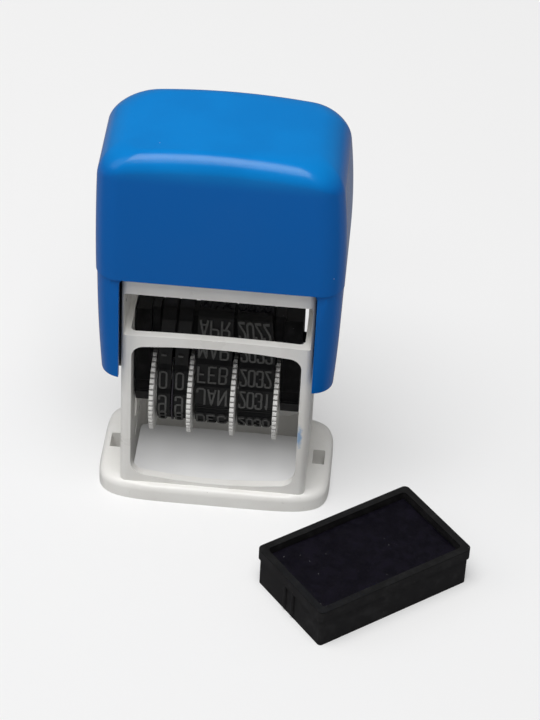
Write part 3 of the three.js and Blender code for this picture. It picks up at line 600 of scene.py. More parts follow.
@dataclass(frozen=True)
class Sweep(Finish):
    """Pale seamless floor, lifted to the photograph's white for the camera and dim in reflections.

    Its painted shadow takes part of the lift away from the patch seen through the stamp's foot. Its
    places are in metres.
    """

    name: str = "sweep_pale"
    colour: Colour = (0.63, 0.63, 0.63, 1.0)
    mirrored: Colour = (0.10, 0.10, 0.105, 1.0)
    mirrored_far: Colour = (0.36, 0.36, 0.37, 1.0)
    lift: float = 0.275
    slope: float = 0.37
    # strength of the painted shadow under the stamp
    shade: float = 0.85
    mirror_turn: Pair = (-0.02, 0.03)
    # painted shadow: where it starts and ends along Y and how it fades across X, in metres
    painted_shadow_front: Pair = (-0.006, 0.013)
    painted_shadow_back: Pair = (0.013, 0.015)
    painted_shadow_side: Pair = (0.017, 0.021)
    fade: Pair = (0.24, 0.62)

    def paint(self, wires: Wires) -> Val:
        """Matt white with the faintest cloud, and for camera rays a lift, a painted shadow under the stamp
        and a fade into the surround.

        Args:
            wires: The material's tree.

        Returns:
            The surface shader.
        """
        clouds = wires.noise(grain=120.0, detail=2.0)
        base = wires.mix(clouds, self.colour, grey(self.colour[0] * 0.985, warmth=0.004))
        seen = wires.ray("Camera")
        sideways, away = (wires.part(wires.coords, axis) for axis in "XY")
        mirrored = wires.mix(away.ramp(*self.mirror_turn), self.mirrored, self.mirrored_far)
        base = wires.mix(wires.ray("Glossy"), base, mirrored)
        across = (sideways - STAMP.translation.x).math("ABSOLUTE")
        along = away - STAMP.translation.y
        # painted shadow: the camera-ray lift is cut where the floor shows through the stamp's foot
        painted_shadow = along.ramp(*self.painted_shadow_front) * (1 - along.ramp(*self.painted_shadow_back))
        painted_shadow = painted_shadow * (1 - across.ramp(*self.painted_shadow_side))
        level = (away * self.slope + self.lift) * (1 - painted_shadow * painted_shadow * self.shade)
        matt = wires.out("ShaderNodeBsdfDiffuse", None, {"Color": base, "Roughness": 0.0})
        even = wires.out("ShaderNodeCombineColor", None, {key: level for key in ("Red", "Green", "Blue")})
        glow = wires.out("ShaderNodeEmission", None, {"Color": wires.mix(seen, grey(0.0), even)})
        near = wires.out("ShaderNodeAddShader", None, {0: matt, 1: glow})
        far = wires.out("ShaderNodeEmission", None, {"Color": grey(SHEET)})
        gone = seen * (sideways * sideways + away * away).math("SQRT").ramp(*self.fade)
        return wires.out("ShaderNodeMixShader", None, {0: gone, 1: near, 2: far})


SHELL = ShellPlastic()
MOULDED = FramePlastic()
HOLDER_BLACK = DarkPlastic()
PAD_BLACK = DarkPlastic(
    "pad_moulded",
    colour=(0.014, 0.0135, 0.014, 1.0),
    worn=(0.027, 0.0265, 0.027, 1.0),
    dust_share=0.14,
    gloss=0.3,
    dark_above=8.45,
)
WHEELS = WheelPlastic()
SMOKED = WheelPlastic("spacer_smoked", colour=(0.035, 0.030, 0.042, 1.0), grime_and_groove_shade=(0.012, 0.011, 0.014, 1.0))
RUBBER = BandRubber()
FELT = InkFelt()
STEEL = DrawnSteel()


@dataclass
class Draft:
    """Points and faces of a mesh that is being drawn."""

    points: list[Point] = field(default_factory=list)
    faces: list[tuple[int, ...]] = field(default_factory=list)

    def ring(self, points: Iterable[Point]) -> list[int]:
        """Adds points and gives their numbers.

        Args:
            points: Their places.

        Returns:
            Their numbers.
        """
        start = len(self.points)
        self.points.extend(points)
        return list(range(start, len(self.points)))

    def bridge(self, here: Sequence[int], ahead: Sequence[int]) -> None:
        """Joins two closed rings of equal length by quads.

        Args:
            here: Numbers of one ring.
            ahead: Numbers of the next.
        """
        count = len(here)
        for i in range(count):
            k = (i + 1) % count
            self.faces.append((here[i], here[k], ahead[k], ahead[i]))

    def skin(self, rings: Sequence[Sequence[int]], inward: bool = False) -> None:
        """Joins rings one after the other, facing the other way when inward."""
        for here, ahead in zip(rings, rings[1:]):
            self.bridge(*((ahead, here) if inward else (here, ahead)))

    def lids(self, first: Sequence[int], last: Sequence[int]) -> None:
        """Closes the first and the last of a row of rings."""
        self.faces.append(tuple(reversed(first)))
        self.faces.append(tuple(last))

    def cover(self, ring: Sequence[int], apex: Point) -> None:
        """Closes a ring with a fan to a point.

        Args:
            ring: Numbers of the ring.
            apex: Where the fan meets.
        """
        top = self.ring([apex])[0]
        count = len(ring)
        self.faces.extend((ring[i], ring[(i + 1) % count], top) for i in range(count))

    def raw(self, name: str) -> bpy.types.Mesh:
        """The drawn mesh as it stands.

        Args:
            name: Name of the mesh.

        Returns:
            The mesh.
        """
        mesh = bpy.data.meshes.new(name)
        mesh.from_pydata(self.points, [], self.faces)
        return mesh

    def mesh(self, name: str) -> bpy.types.Mesh:
        """The drawn mesh, with its faces turned outwards.

        Args:
            name: Name of the mesh.

        Returns:
            The mesh without doubles.
        """
        mesh = self.raw(name)
        work = bmesh.new()
        work.from_mesh(mesh)
        bmesh.ops.remove_doubles(work, verts=work.verts, dist=DRAFT_MERGE)
        bmesh.ops.recalc_face_normals(work, faces=work.faces)
        work.to_mesh(mesh)
        work.free()
        return mesh


def prism(outline: Sequence[Pair], low: float, high: float, place: Matrix) -> Draft:
    """Straight prism over a closed outline.

    Args:
        outline: Its corners in the prism's own X and Y.
        low: Where it starts on its own Z.
        high: Where it ends.
        place: Turns and moves it.

    Returns:
        The closed solid.
    """
    draft = Draft()
    lower, upper = (draft.ring(place @ Vector((x, y, z)) for x, y in outline) for z in (low, high))
    draft.bridge(lower, upper)
    draft.lids(lower, upper)
    return draft


def stand(name: str, data: bpy.types.ID) -> bpy.types.Object:
    """Puts a mesh, curve, lamp or camera into the scene as an object at the origin.

    Args:
        name: Name of the object.
        data: What it shows.

    Returns:
        The object.
    """
    piece = bpy.data.objects.new(name, data)
    bpy.context.scene.collection.objects.link(piece)
    return piece


def new_lines(name: str) -> bpy.types.Curve:
    """An empty curve in space.

    Args:
        name: Name of the curve.

    Returns:
        The curve.
    """
    curve = bpy.data.curves.new(name, "CURVE")
    curve.dimensions = "3D"
    return curve


def add_line(
    curve: bpy.types.Curve, points: Sequence[Iterable[float]], closed: bool = False, radius: float = 1.0
) -> None:
    """Adds a line with straight spans to a curve.

    Args:
        curve: Takes the line.
        points: Its corners.
        closed: Whether its ends meet.
        radius: Share of the full stroke.
    """
    line = curve.splines.new("POLY")
    line.points.add(len(points) - 1)
    for spot, point in zip(line.points, points):
        spot.co = (*point, 1.0)
        spot.radius = radius
    line.use_cyclic_u = closed


def baked(piece: bpy.types.Object) -> bpy.types.Mesh:
    """The piece's mesh with its modifiers worked in."""
    graph = bpy.context.evaluated_depsgraph_get()
    return bpy.data.meshes.new_from_object(piece.evaluated_get(graph), depsgraph=graph)


def carved(mesh: bpy.types.Mesh, tools: Sequence[tuple[str, Draft]]) -> bpy.types.Mesh:
    """Cuts or joins solids, one after the other.

    Args:
        mesh: The solid that is worked on.
        tools: Each operation, DIFFERENCE or UNION, with its solid.

    Returns:
        The resulting mesh.
    """
    work = stand("work", mesh)
    helpers = []
    for operation, draft in tools:
        helper = stand("helper", draft.mesh("helper"))
        cut = work.modifiers.new("cut", "BOOLEAN")
        cut.operation = operation
        cut.solver = "EXACT"
        cut.object = helper
        helpers.append(helper)
    result = baked(work)
    for helper in (work, *helpers):
        bpy.data.objects.remove(helper)
    return result


def softened(
    mesh: bpy.types.Mesh, width: float, segments: int, picks: Callable[[bmesh.types.BMEdge], bool]
) -> None:
    """Rounds the picked edges in place.

    Args:
        mesh: The mesh.
        width: Width of the round, in the mesh's own unit.
        segments: Steps across the round.
        picks: Says which edges are rounded.
    """
    work = bmesh.new()
    work.from_mesh(mesh)
    edges = [edge for edge in work.edges if len(edge.link_faces) == 2 and picks(edge)]
    shape = {"offset": width, "offset_type": "OFFSET", "segments": segments, "profile": 0.5}
    bmesh.ops.bevel(work, geom=edges, affect="EDGES", clamp_overlap=True, miter_outer="ARC", **shape)
    work.to_mesh(mesh)
    work.free()


def sharp(least: float) -> Callable[[bmesh.types.BMEdge], bool]:
    """Picks the edges that turn by more than least degrees."""
    turn = math.radians(least)
    return lambda edge: edge.calc_face_angle(0.0) > turn


def shaded(piece: bpy.types.Object, angle: float = SMOOTH_TURN) -> None:
    """Smooth shading, broken at edges sharper than angle degrees, weighted by face area.

    Args:
        piece: The piece.
        angle: Edges that turn by more than this many degrees stay sharp.
    """
    piece.data.shade_smooth()
    piece.data.set_sharp_from_angle(angle=math.radians(angle))
    weighted = piece.modifiers.new("even_normals", "WEIGHTED_NORMAL")
    weighted.keep_sharp = True


def copied(node: str) -> bpy.types.Mesh:
    """A node's mesh with its loose triangles joined and its flats cleared of inner edges.

    Args:
        node: Name of the node.

    Returns:
        The new mesh.
    """
    work = bmesh.new()
    work.from_mesh(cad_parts[node].data)
    bmesh.ops.remove_doubles(work, verts=work.verts, dist=NODE_MERGE)
    limits = {"angle_limit": math.radians(FLAT_TURN), "use_dissolve_boundaries": False}
    bmesh.ops.dissolve_limit(work, verts=work.verts, edges=work.edges, **limits)
    mesh = bpy.data.meshes.new(node)
    work.to_mesh(mesh)
    work.free()
    return mesh


def replacing(node: str, name: str, mesh: bpy.types.Mesh, angle: float = SMOOTH_TURN) -> bpy.types.Object:
    """The shaded piece that stands for a node.

    Args:
        node: The node it stands for.
        name: Name of the piece.
        mesh: Its mesh.
        angle: Edges that turn by more than this many degrees stay sharp.

    Returns:
        The new piece.
    """
    piece = stand(name, mesh)
    shaded(piece, angle)
    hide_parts(node)
    return piece


def eased(node: str, name: str, width: float, segments: int = 2, least: float = 40.0) -> bpy.types.Object:
    """A node remade with moulded, rounded edges.

    Args:
        node: The node it stands for.
        name: Name of the piece.
        width: Width of the rounds, in millimetres.
        segments: Steps across each round.
        least: Edges that turn by more than this many degrees are rounded.

    Returns:
        The new piece.
    """
    mesh = copied(node)
    softened(mesh, width * MM, segments, sharp(least))
    return replacing(node, name, mesh)


def settle(piece: bpy.types.Object, body: Body, finish: Finish | None = None) -> None:
    """Dresses a finished piece and says what carries it.

    Args:
        piece: The piece.
        body: The body it rides on.
        finish: Its finish, where it hasn't got it yet.
    """
    if finish:
        finish.dress(piece)
    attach(piece, body.value)
    LOG.info("%s: %d faces on %s", piece.name, len(piece.data.polygons), body.value)


@dataclass
class Recipe:
    """A geometry nodes tree with named inputs, whose results are kept as plain meshes."""

    name: str
    wires: Wires = field(init=False)
    entry: bpy.types.Node = field(init=False)
    sockets: dict[str, str] = field(default_factory=dict)

    def __post_init__(self) -> None:
        """Starts the tree with its geometry input and output."""
        tree = bpy.data.node_groups.new(self.name, "GeometryNodeTree")
        self.wires = Wires(tree)
        tree.interface.new_socket("Geometry", in_out="INPUT", socket_type="NodeSocketGeometry")
        tree.interface.new_socket("Geometry", in_out="OUTPUT", socket_type="NodeSocketGeometry")
        self.entry = tree.nodes.new("NodeGroupInput")

    def ask(self, *names: str, kind: str = "Float") -> list[Val]:
        """Adds named inputs and gives their values.

        Args:
            *names: Names of the inputs.
            kind: Their type.

        Returns:
            Their values.
        """
        panel = self.wires.tree.interface
        for name in names:
            socket = panel.new_socket(name, in_out="INPUT", socket_type=f"NodeSocket{kind}")
            self.sockets[name] = socket.identifier
        return [Val(self.wires, self.entry.outputs[name]) for name in names]

    def geometry(self) -> Val:
        """The geometry that comes in."""
        return Val(self.wires, self.entry.outputs["Geometry"])

    def close(self, shape: Val, finish: Finish) -> None:
        """Ends the tree in realized, dressed geometry.

        Args:
            shape: The finished geometry.
            finish: What it is dressed in.
        """
        real = self.wires.out("GeometryNodeRealizeInstances", None, {0: shape})
        inputs = {"Geometry": real, "Material": finish.material()}
        dressed = self.wires.out("GeometryNodeSetMaterial", None, inputs)
        self.wires.node("NodeGroupOutput", None, {0: dressed})

    def bake(self, name: str, start: bpy.types.Mesh, place: Matrix, values: dict) -> bpy.types.Object:
        """Runs the tree on a mesh and keeps the result as a plain mesh.

        Args:
            name: Name of the new piece.
            start: Mesh that the tree begins with.
            place: Placing of the result.
            values: The tree's inputs.

        Returns:
            The finished piece.
        """
        work = stand("work", start)
        modifier = work.modifiers.new(self.name, "NODES")
        modifier.node_group = self.wires.tree
        for key, value in values.items():
            modifier[self.sockets[key]] = value
        work.update_tag()
        mesh = baked(work)
        bpy.data.objects.remove(work)
        mesh.transform(place)
        mesh.name = name
        return stand(name, mesh)


@dataclass
class Cap:
    """The pressed shell: swelling sides, rounded roof edge, cut-outs front and back."""

    half_x: float = 22.8
    half_y: float = 14.56
    foot: float = 31.5
    top: float = 83.0
    crown: float = 1.9
    side_round: float = 5.4
    front_round: float = 3.5
    rear_round: float = 4.2
    corners: tuple[float, ...] = (4.8, 6.4, 4.5, 4.5)
    roof_corners: tuple[float, ...] = (3.6, 6.2, 4.4, 4.4)
    bulge: float = 0.8
    belly: float = 1.4
    side_draw: float = 0.6
    widest: float = 54.0
    draw_in: float = 1.35
    lean_top: float = -0.95
    lean_foot: float = 0.15
    wall: float = 1.6
    inner_soft: float = 0.2
    setback: float = 0.2
    cut_half: float = 18.8
    cut_head: float = 55.06
    cut_corner: float = 1.4
    cut_edge: float = 0.3
    cut_through: float = 20.0
    cut_turn: float = 50.0
    skin_depth: float = 0.62
    slack: float = 0.01
    scoop_width: float = 2.5
    scoop_height: float = 5.5
    scoop_depth: float = 0.35
    scoop_corner: float = 2.3
    scoop_over: float = 1.0
    rib_spacing: float = 7.0
    rib_half: float = 16.0
    rib_thick: float = 1.2
    rib_low: float = 76.3
    rib_high: float = 81.5
    corner_steps: int = 12
    across_steps: int = 36
    edge_steps: int = 12
    cut_steps: int = 8
    outer_steps: int = 10
    inner_steps: int = 8
    low_steps: int = 8
    cut_edge_steps: int = 3
    head_gap: Pair = (0.14, 0.12)
    rim: tuple[Pair, ...] = ((1.25, 0.0), (0.56, 0.0), (0.36, 0.07), (0.23, 0.2), (0.2, 0.38))
    step: tuple[Pair, ...] = ((0.18, 0.08), (0.12, 0.05), (0.03, 0.04), (0.0, -0.04))
    roof_rings: tuple[float, ...] = (0.92, 0.8, 0.64, 0.48, 0.32, 0.16, 0.05)

    def plan(self, inset: float, inward: float) -> list[tuple[float, float, float, float]]:
        """Plan outline of the shell.

        Args:
            inset: Distance inside the outer face.
            inward: Share of the way from the wall to the flat of the roof, 0 to 1.

        Returns:
            X, Y and the outward direction at each point, anticlockwise.
        """
        half_x = self.half_x - inset - (self.side_round - inset) * inward
        points = []
        for turn, (side_x, side_y) in enumerate(((1, 1), (-1, 1), (-1, -1), (1, -1))):
            half_y = self.half_y - inset - (self.edge_round(side_y) - inset) * inward
            radius, radius_ahead = (
                self.corners[k] + (self.roof_corners[k] + inset - self.corners[k]) * inward - inset
                for k in (turn, (turn + 1) % 4)
            )
            mid_x, mid_y = half_x - radius, half_y - radius
            for i in range(self.corner_steps + 1):
                angle = math.pi / 2 * (turn + i / self.corner_steps)
                out = (math.cos(angle), math.sin(angle))
                points.append((side_x * mid_x + radius * out[0], side_y * mid_y + radius * out[1], *out))
            if turn % 2 == 0:
                for i in range(1, self.across_steps):
                    share = i / self.across_steps
                    x = side_x * (mid_x * (1 - share) - (half_x - radius_ahead) * share)
                    points.append((x, side_y * half_y, 0.0, float(side_y)))
        return points

    def edge_round(self, out_y: float) -> float:
        """Round between the roof and the front or the back."""
        return self.rear_round if out_y > 0 else self.front_round

    def drop(self, inset: float, out_x: float, out_y: float) -> float:
        """How far the wall ends below the roof's edge in one outward direction."""
        return (self.side_round - inset) * out_x**2 + (self.edge_round(out_y) - inset) * out_y**2

    def placed(self, x: float, y: float, z: float, inset: float) -> Point:
        """A point with the sides' swelling, the front and back drawn in, and the shell's slight lean.

        Args:
            x: X on a shell with straight sides.
            y: Y on it.
            z: Z, which stays.
            inset: Distance inside the outer face.

        Returns:
            The point on the cap's own shape.
        """
        away = (z - self.widest) / (self.widest - self.foot)
        up = max(z - self.widest, 0.0) / (self.top - self.widest)
        down = max(self.widest - z, 0.0) / (self.widest - self.foot)
        belly = self.belly * up * (1 - (y / self.half_y) ** 2) - self.side_draw * up * up
        swollen = x * (1 + (self.bulge * (1 - away * away) + belly) / self.half_x)
        lean = (self.lean_top * up * up + self.lean_foot * down) * max(1 - inset / self.wall, 0.0)
        return swollen + lean, y * (1 - self.draw_in * up * up / self.half_y), z

    def roof(self, x: float, inset: float) -> float:
        """Level of the roof at X."""
        return self.top - inset - self.crown * (x / self.half_x) ** 2

    def level(self, draft: Draft, inset: float, z: float) -> list[int]:
        """Adds a ring of the wall at one level."""
        return draft.ring(self.placed(x, y, z, inset) for x, y, _, _ in self.plan(inset, 0.0))

    def wall_up(self, draft: Draft, inset: float, start: float, steps: int) -> list[list[int]]:
        """Rings from a level up the wall, round the edge and over the roof.

        Args:
            draft: Takes the points.
            inset: Distance inside the outer face.
            start: Level of the first ring.
            steps: Rings up the wall.

        Returns:
            The rings, from the start to the middle of the roof.
        """
        rings = []
        for step in range(steps + 1):
            points = []
            for x, y, out_x, out_y in self.plan(inset, 0.0):
                shoulder = self.roof(x, inset) - self.drop(inset, out_x, out_y)
                z = start + (shoulder - start) * step / steps
                points.append(self.placed(x, y, z, inset))
            rings.append(draft.ring(points))
        for step in range(1, self.edge_steps + 1):
            angle = math.pi / 2 * step / self.edge_steps
            points = []
            for x, y, out_x, out_y in self.plan(inset, 1 - math.cos(angle)):
                z = self.roof(x, inset) - self.drop(inset, out_x, out_y) * (1 - math.sin(angle))
                points.append(self.placed(x, y, z, inset))
            rings.append(draft.ring(points))
        edge = [draft.points[i] for i in rings[-1]]
        for share in self.roof_rings:
            rings.append(draft.ring((x * share, y * share, self.roof(x * share, inset)) for x, y, _ in edge))
        return rings

    def shell(self) -> bpy.types.Mesh:
        """The uncut shell with its rounded rim and the step under the body.

        Returns:
            The closed mesh.
        """
        draft = Draft()
        rings = [self.level(draft, inset, self.foot + up) for inset, up in self.rim]
        low, high = self.foot + self.rim[-1][1], self.cut_head - self.head_gap[0]
        for step in range(1, self.low_steps + 1):
            rings.append(self.level(draft, self.setback, low + (high - low) * step / self.low_steps))
        rings += [self.level(draft, inset, self.cut_head - drop) for inset, drop in self.step]
        rings += self.wall_up(draft, 0.0, self.cut_head + self.head_gap[1], self.outer_steps)
        draft.skin(rings)
        draft.cover(rings[-1], (0.0, 0.0, self.roof(0.0, 0.0)))
        inner = [self.level(draft, self.wall - self.inner_soft, self.foot)]
        inner += self.wall_up(draft, self.wall, self.foot + self.inner_soft, self.inner_steps)
        draft.skin(inner, inward=True)
        draft.cover(list(reversed(inner[-1])), (0.0, 0.0, self.roof(0.0, self.wall)))
        draft.bridge(inner[0], rings[0])
        return draft.mesh("cap_shell")

    def scoop_tool(self, side: int, behind: bool) -> Draft:
        """Cutter for the shallow ramp beside the head of a cut-out.

        Args:
            side: 1 to the right, -1 to the left.
            behind: Whether it is at the back.

        Returns:
            The cutter.
        """
        slope, corner = math.hypot(self.scoop_height, self.scoop_depth), self.scoop_corner
        inner, outer = self.cut_half - self.scoop_over, self.cut_half + self.scoop_width
        mid_x, mid_y, end = outer - corner, slope - corner, slope + 0.02
        outline = [(inner, 0.0), (outer, 0.0), (outer, mid_y)]
        for i in range(1, self.cut_steps + 1):
            angle = math.pi / 2 * i / self.cut_steps
            outline.append((mid_x + corner * math.cos(angle), mid_y + corner * math.sin(angle)))
        outline += [(mid_x, end), (inner, end)]
        outline = [(side * x, y) for x, y in (outline if side > 0 else reversed(outline))]
        tilt = Matrix.Rotation(math.pi / 2 - math.asin(self.scoop_depth / slope), 4, "X")
        spot = Matrix.Translation((0.0, self.setback - self.half_y, self.cut_head - self.scoop_height))
        turn = Matrix.Rotation(math.pi if behind else 0.0, 4, "Z")
        return prism(outline, low=0.0, high=1.0, place=turn @ spot @ tilt)

    def cut_tool(self) -> Draft:
        """Cutter for the cut-outs, through front and back.

        Returns:
            The cutter.
        """
        corner = self.cut_corner
        mid_x, mid_z = self.cut_half - corner, self.cut_head - corner
        outline = [(self.cut_half, self.foot - 1.0)]
        for turn, side in enumerate((1, -1)):
            for i in range(self.cut_steps + 1):
                angle = math.pi / 2 * (turn + i / self.cut_steps)
                outline.append((side * mid_x + corner * math.cos(angle), mid_z + corner * math.sin(angle)))
        outline.append((-self.cut_half, self.foot - 1.0))
        return prism(outline, -self.cut_through, self.cut_through, Matrix.Rotation(math.pi / 2, 4, "X"))

    def rib_tool(self, y: float) -> Draft:
        """One of the ribs under the roof.

        Args:
            y: Middle of the rib.

        Returns:
            The rib.
        """
        half, low, high = self.rib_half, y - self.rib_thick / 2, y + self.rib_thick / 2
        outline = [(-half, low), (half, low), (half, high), (-half, high)]
        return prism(outline, self.rib_low, self.rib_high, Matrix.Identity(4))

    def on_cut(self, edge: bmesh.types.BMEdge) -> bool:
        """Picks the cut-out's edges on the outer face.

        Args:
            edge: An edge of the carved shell.

        Returns:
            Whether it is rounded.
        """
        if edge.calc_face_angle(0.0) < math.radians(self.cut_turn):
            return False
        most_x, most_z = self.cut_half + self.slack, self.cut_head + self.slack
        least_y = self.half_y - self.skin_depth
        return not any(
            abs(vert.co.y) < least_y or vert.co.z > most_z or abs(vert.co.x) > most_x for vert in edge.verts
        )

    def build(self) -> None:
        """Makes the cap."""
        tools = [("UNION", self.rib_tool(side * self.rib_spacing / 2)) for side in (-1, 1)]
        for side in (-1, 1):
            tools += [("DIFFERENCE", self.scoop_tool(side, behind)) for behind in (False, True)]
        tools.append(("DIFFERENCE", self.cut_tool()))
        mesh = carved(self.shell(), tools)
        softened(mesh, self.cut_edge, self.cut_edge_steps, self.on_cut)
        mesh.transform(STAMP)
        piece = replacing("cap", "cap_shell", mesh, angle=40.0)
        settle(piece, Body.PRESS, SHELL)


@dataclass
class Frame:
    """The off-white moulding that everything stands and slides in."""

    edge: float = 0.28
    edge_steps: int = 3
    edge_turn: float = 40.0
    fillet: float = 0.9
    fillet_steps: int = 4
    fillet_turn: float = 25.0
    fillet_rise: float = 0.5
    fillet_from: Point = (18.2, 11.7, 2.5)
    fillet_below: float = 7.0
    slot_half: float = 18.05
    ledge: float = 40.65
    ledge_rise: float = 0.75
    ledge_run: float = 17.45
    ledge_drop: Pair = (0.3, 0.4)
    ledge_slack: float = 0.05
    corner_high: float = 0.75
    corner_left: float = 0.35

    def crisp_ledge(self, mesh: bpy.types.Mesh) -> None:
        """Lowers the pad's ledge to a nearly straight line and squares the corners above it.

        Args:
            mesh: The frame's mesh, changed in place.
        """
        middle = STAMP.translation.x / MM
        for vert in mesh.vertices:
            x, z = vert.co.x / MM - middle, vert.co.z / MM
            arch = 1 - (x / self.ledge_run) ** 2
            above = z - self.ledge - self.ledge_rise * arch
            within = -self.edge - self.ledge_slack < above < self.corner_high
            if abs(x) > self.slot_half + self.ledge_slack or not within:
                continue
            squared = above * self.corner_left if above > 0 else above
            vert.co.z += (squared - above - self.ledge_drop[0] - self.ledge_drop[1] * arch) * MM

    def at_foot(self, edge: bmesh.types.BMEdge) -> bool:
        """Picks the inner edge where the tube rises from the foot's roof.

        Args:
            edge: An edge of the frame.

        Returns:
            Whether it gets the fillet.
        """
        least_x, least_y, low = self.fillet_from
        for vert in edge.verts:
            x, y, z = ((vert.co - STAMP.translation) / MM)[:]
            if (abs(x) < least_x and abs(y) < least_y) or not low < z < self.fillet_below:
                return False
        level = abs(edge.verts[0].co.z - edge.verts[1].co.z) < self.fillet_rise * MM
        return level and not edge.is_convex and edge.calc_face_angle(0.0) > math.radians(self.fillet_turn)

    def build(self) -> None:
        """Makes the frame from its node, with moulded edges and a fillet above the foot."""
        mesh = copied("frame")
        softened(mesh, self.fillet * MM, self.fillet_steps, self.at_foot)
        softened(mesh, self.edge * MM, self.edge_steps, sharp(self.edge_turn))
        self.crisp_ledge(mesh)
        piece = replacing("frame", "frame_moulding", mesh)
        settle(piece, Body.FRAME, MOULDED)


@dataclass
class Press:
    """The stirrup under the cap and the coil that lifts it."""

    coil_radius: float = 4.6
    wire: float = 0.9
    turns: float = 5.0
    low: float = 52.9
    high: float = 73.65
    end_close: float = 0.7
    points: int = 241
    sides: int = 12
    foot: float = 52.45
    keep: float = 0.307

    def coil(self) -> Recipe:
        """Tree that bends a line into a coil wound closer at both ends.

        Returns:
            The tree.
        """
        recipe = Recipe("return_coil")
        wires = recipe.wires
        names = ("Radius", "Wire", "Turns", "Low", "High", "End close")
        radius, wire, turns, low, high, close = recipe.ask(*names)
        line = wires.out("GeometryNodeCurvePrimitiveLine")
        line = wires.out("GeometryNodeResampleCurve", None, {"Curve": line, "Count": self.points})
        share = wires.out("GeometryNodeSplineParameter", None, None, "Factor")
        rise = share - (share * math.tau).math("SINE") / math.tau * close
        angle = share * turns * math.tau
        x, y = angle.math("COSINE") * radius, angle.math("SINE") * radius
        place = wires.point(x, y, low + (high - low) * rise)
        line = wires.moved(line, "Position", place)
        tube = wires.tube(line, wire / 2, self.sides)
        smooth = wires.out("GeometryNodeSetShadeSmooth", None, {"Geometry": tube})
        recipe.close(smooth, STEEL)
        return recipe

    def build(self) -> None:
        """Makes the stirrup and its spring."""
        stirrup = eased("stirrup", "stirrup_arms", width=0.3)
        settle(stirrup, Body.PRESS, HOLDER_BLACK)
        start = bpy.data.meshes.new("coil_start")
        sizes = {"Radius": self.coil_radius, "Wire": self.wire, "Turns": self.turns}
        sizes |= {"Low": self.low, "High": self.high, "End close": self.end_close}
        spring = self.coil().bake("return_coil", start, STAMP, sizes)
        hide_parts("return_spring")
        settle(spring, Body.FRAME)
        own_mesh(spring)


GLYPHS = {
    "A": "004880 1272", "B": "0008r78r7404 04r84r8000", "C": "86r88r08r00r8082",
    "D": "0008r88r80z", "E": "88080080 0464", "F": "880800 0464",
    "G": "86r88r08r00r808444", "J": "88r80r0002", "L": "080080",
    "M": "0008438880", "N": "00088088", "O": "r00r80r88r08z",
    "P": "0008r88r8404", "R": "0008r88r8404 4480", "S": "86r88r08r04r84r80r0002",
    "T": "0888 4840", "U": "08r00r8088", "V": "084088", "Y": "084488 4440",
    "0": "r00r80r88r08z", "1": "164840", "2": "06r08r88r850080",
    "3": "06r08r88r8434 34r84r80r0002", "4": "60680282", "5": "880804r84r80r0002",
    "6": "86r88r08r00r80r8404", "7": "088820", "8": "r00r80r84r04z r04r84r88r08z",
    "9": "02r00r80r88r08r0484", "-": "1474",
}


@dataclass
class TypeFace:
    """Narrow round-cornered stroke type for the bands."""

    corner: float = 0.62
    reach: float = 0.4
    gap_share: float = 0.42
    one_share: float = 0.6
    round_steps: int = 6

    def path(self, code: str, width: float, height: float) -> tuple[list[Vector], bool]:
        """One stroke as points.

        Args:
            code: Its corners on a grid of eight by eight, an r before those that are round,
                and a z at the end of a closed one.
            width: Width of the glyph.
            height: Height of the glyph.

        Returns:
            The points about the glyph's middle, and whether the stroke is closed.
        """
        marks = re.findall(r"(r?)(\d)(\d)", code)
        closed = code.endswith("z")
        spots = [Vector(((int(x) / 8 - 0.5) * width, (int(y) / 8 - 0.5) * height)) for _, x, y in marks]
        count = len(spots)
        points: list[Vector] = []
        for i, (rounded, _, _) in enumerate(marks):
            if not rounded or (not closed and i in (0, count - 1)):
                points.append(spots[i])
                continue
            back, on = spots[i - 1] - spots[i], spots[(i + 1) % count] - spots[i]
            radius = min(self.corner, back.length / 2, on.length / 2)
            start, end = spots[i] + back.normalized() * radius, spots[i] + on.normalized() * radius
            for step in range(self.round_steps + 1):
                share = step / self.round_steps
                points.append(start * (1 - share) ** 2 + spots[i] * 2 * share * (1 - share) + end * share**2)
        return points, closed

    def split(self, points: list[Vector], closed: bool) -> list[Vector]:
        """The same path with points no further apart than reach.

        Args:
            points: Corners of the stroke.
            closed: Whether its ends meet.

        Returns:
            The finer path.
        """
        ends = points[1:] + points[:1] if closed else points[1:]
        result: list[Vector] = []
        for here, ahead in zip(points, ends):
            steps = max(1, math.ceil((ahead - here).length / self.reach))
            result += [here.lerp(ahead, i / steps) for i in range(steps)]
        return result if closed else result + [points[-1]]

    def write(self, curve: bpy.types.Curve, text: str, size: Pair, middle: Pair) -> None:
        """Adds the strokes of a word.

        Args:
            curve: Takes the strokes.
            text: The word.
            size: Width and height of the whole word.
            middle: Where its middle lies on the flat band.
        """
        width, height = size
        glyph = width / (len(text) + self.gap_share * (len(text) - 1))
        step = glyph * (1 + self.gap_share)
        for i, character in enumerate(text):
            x = middle[0] - width / 2 + glyph / 2 + i * step
            narrow = glyph * (self.one_share if character == "1" else 1.0)
            for code in GLYPHS[character].split():
                points, closed = self.path(code, narrow, height)
                line = [(x + point.x, middle[1] + point.y, 0.0) for point in self.split(points, closed)]
                add_line(curve, line, closed)


@dataclass(frozen=True)
class BandPlan:
    """One type band: where it runs, how wide it is and what it prints."""

    key: str
    hub_x: float
    face_x: float
    width: float
    text_size: Pair
    words: tuple[str, ...]
    rows: tuple[float, ...]
    slip: float = 0.0
    ribbed: bool = True


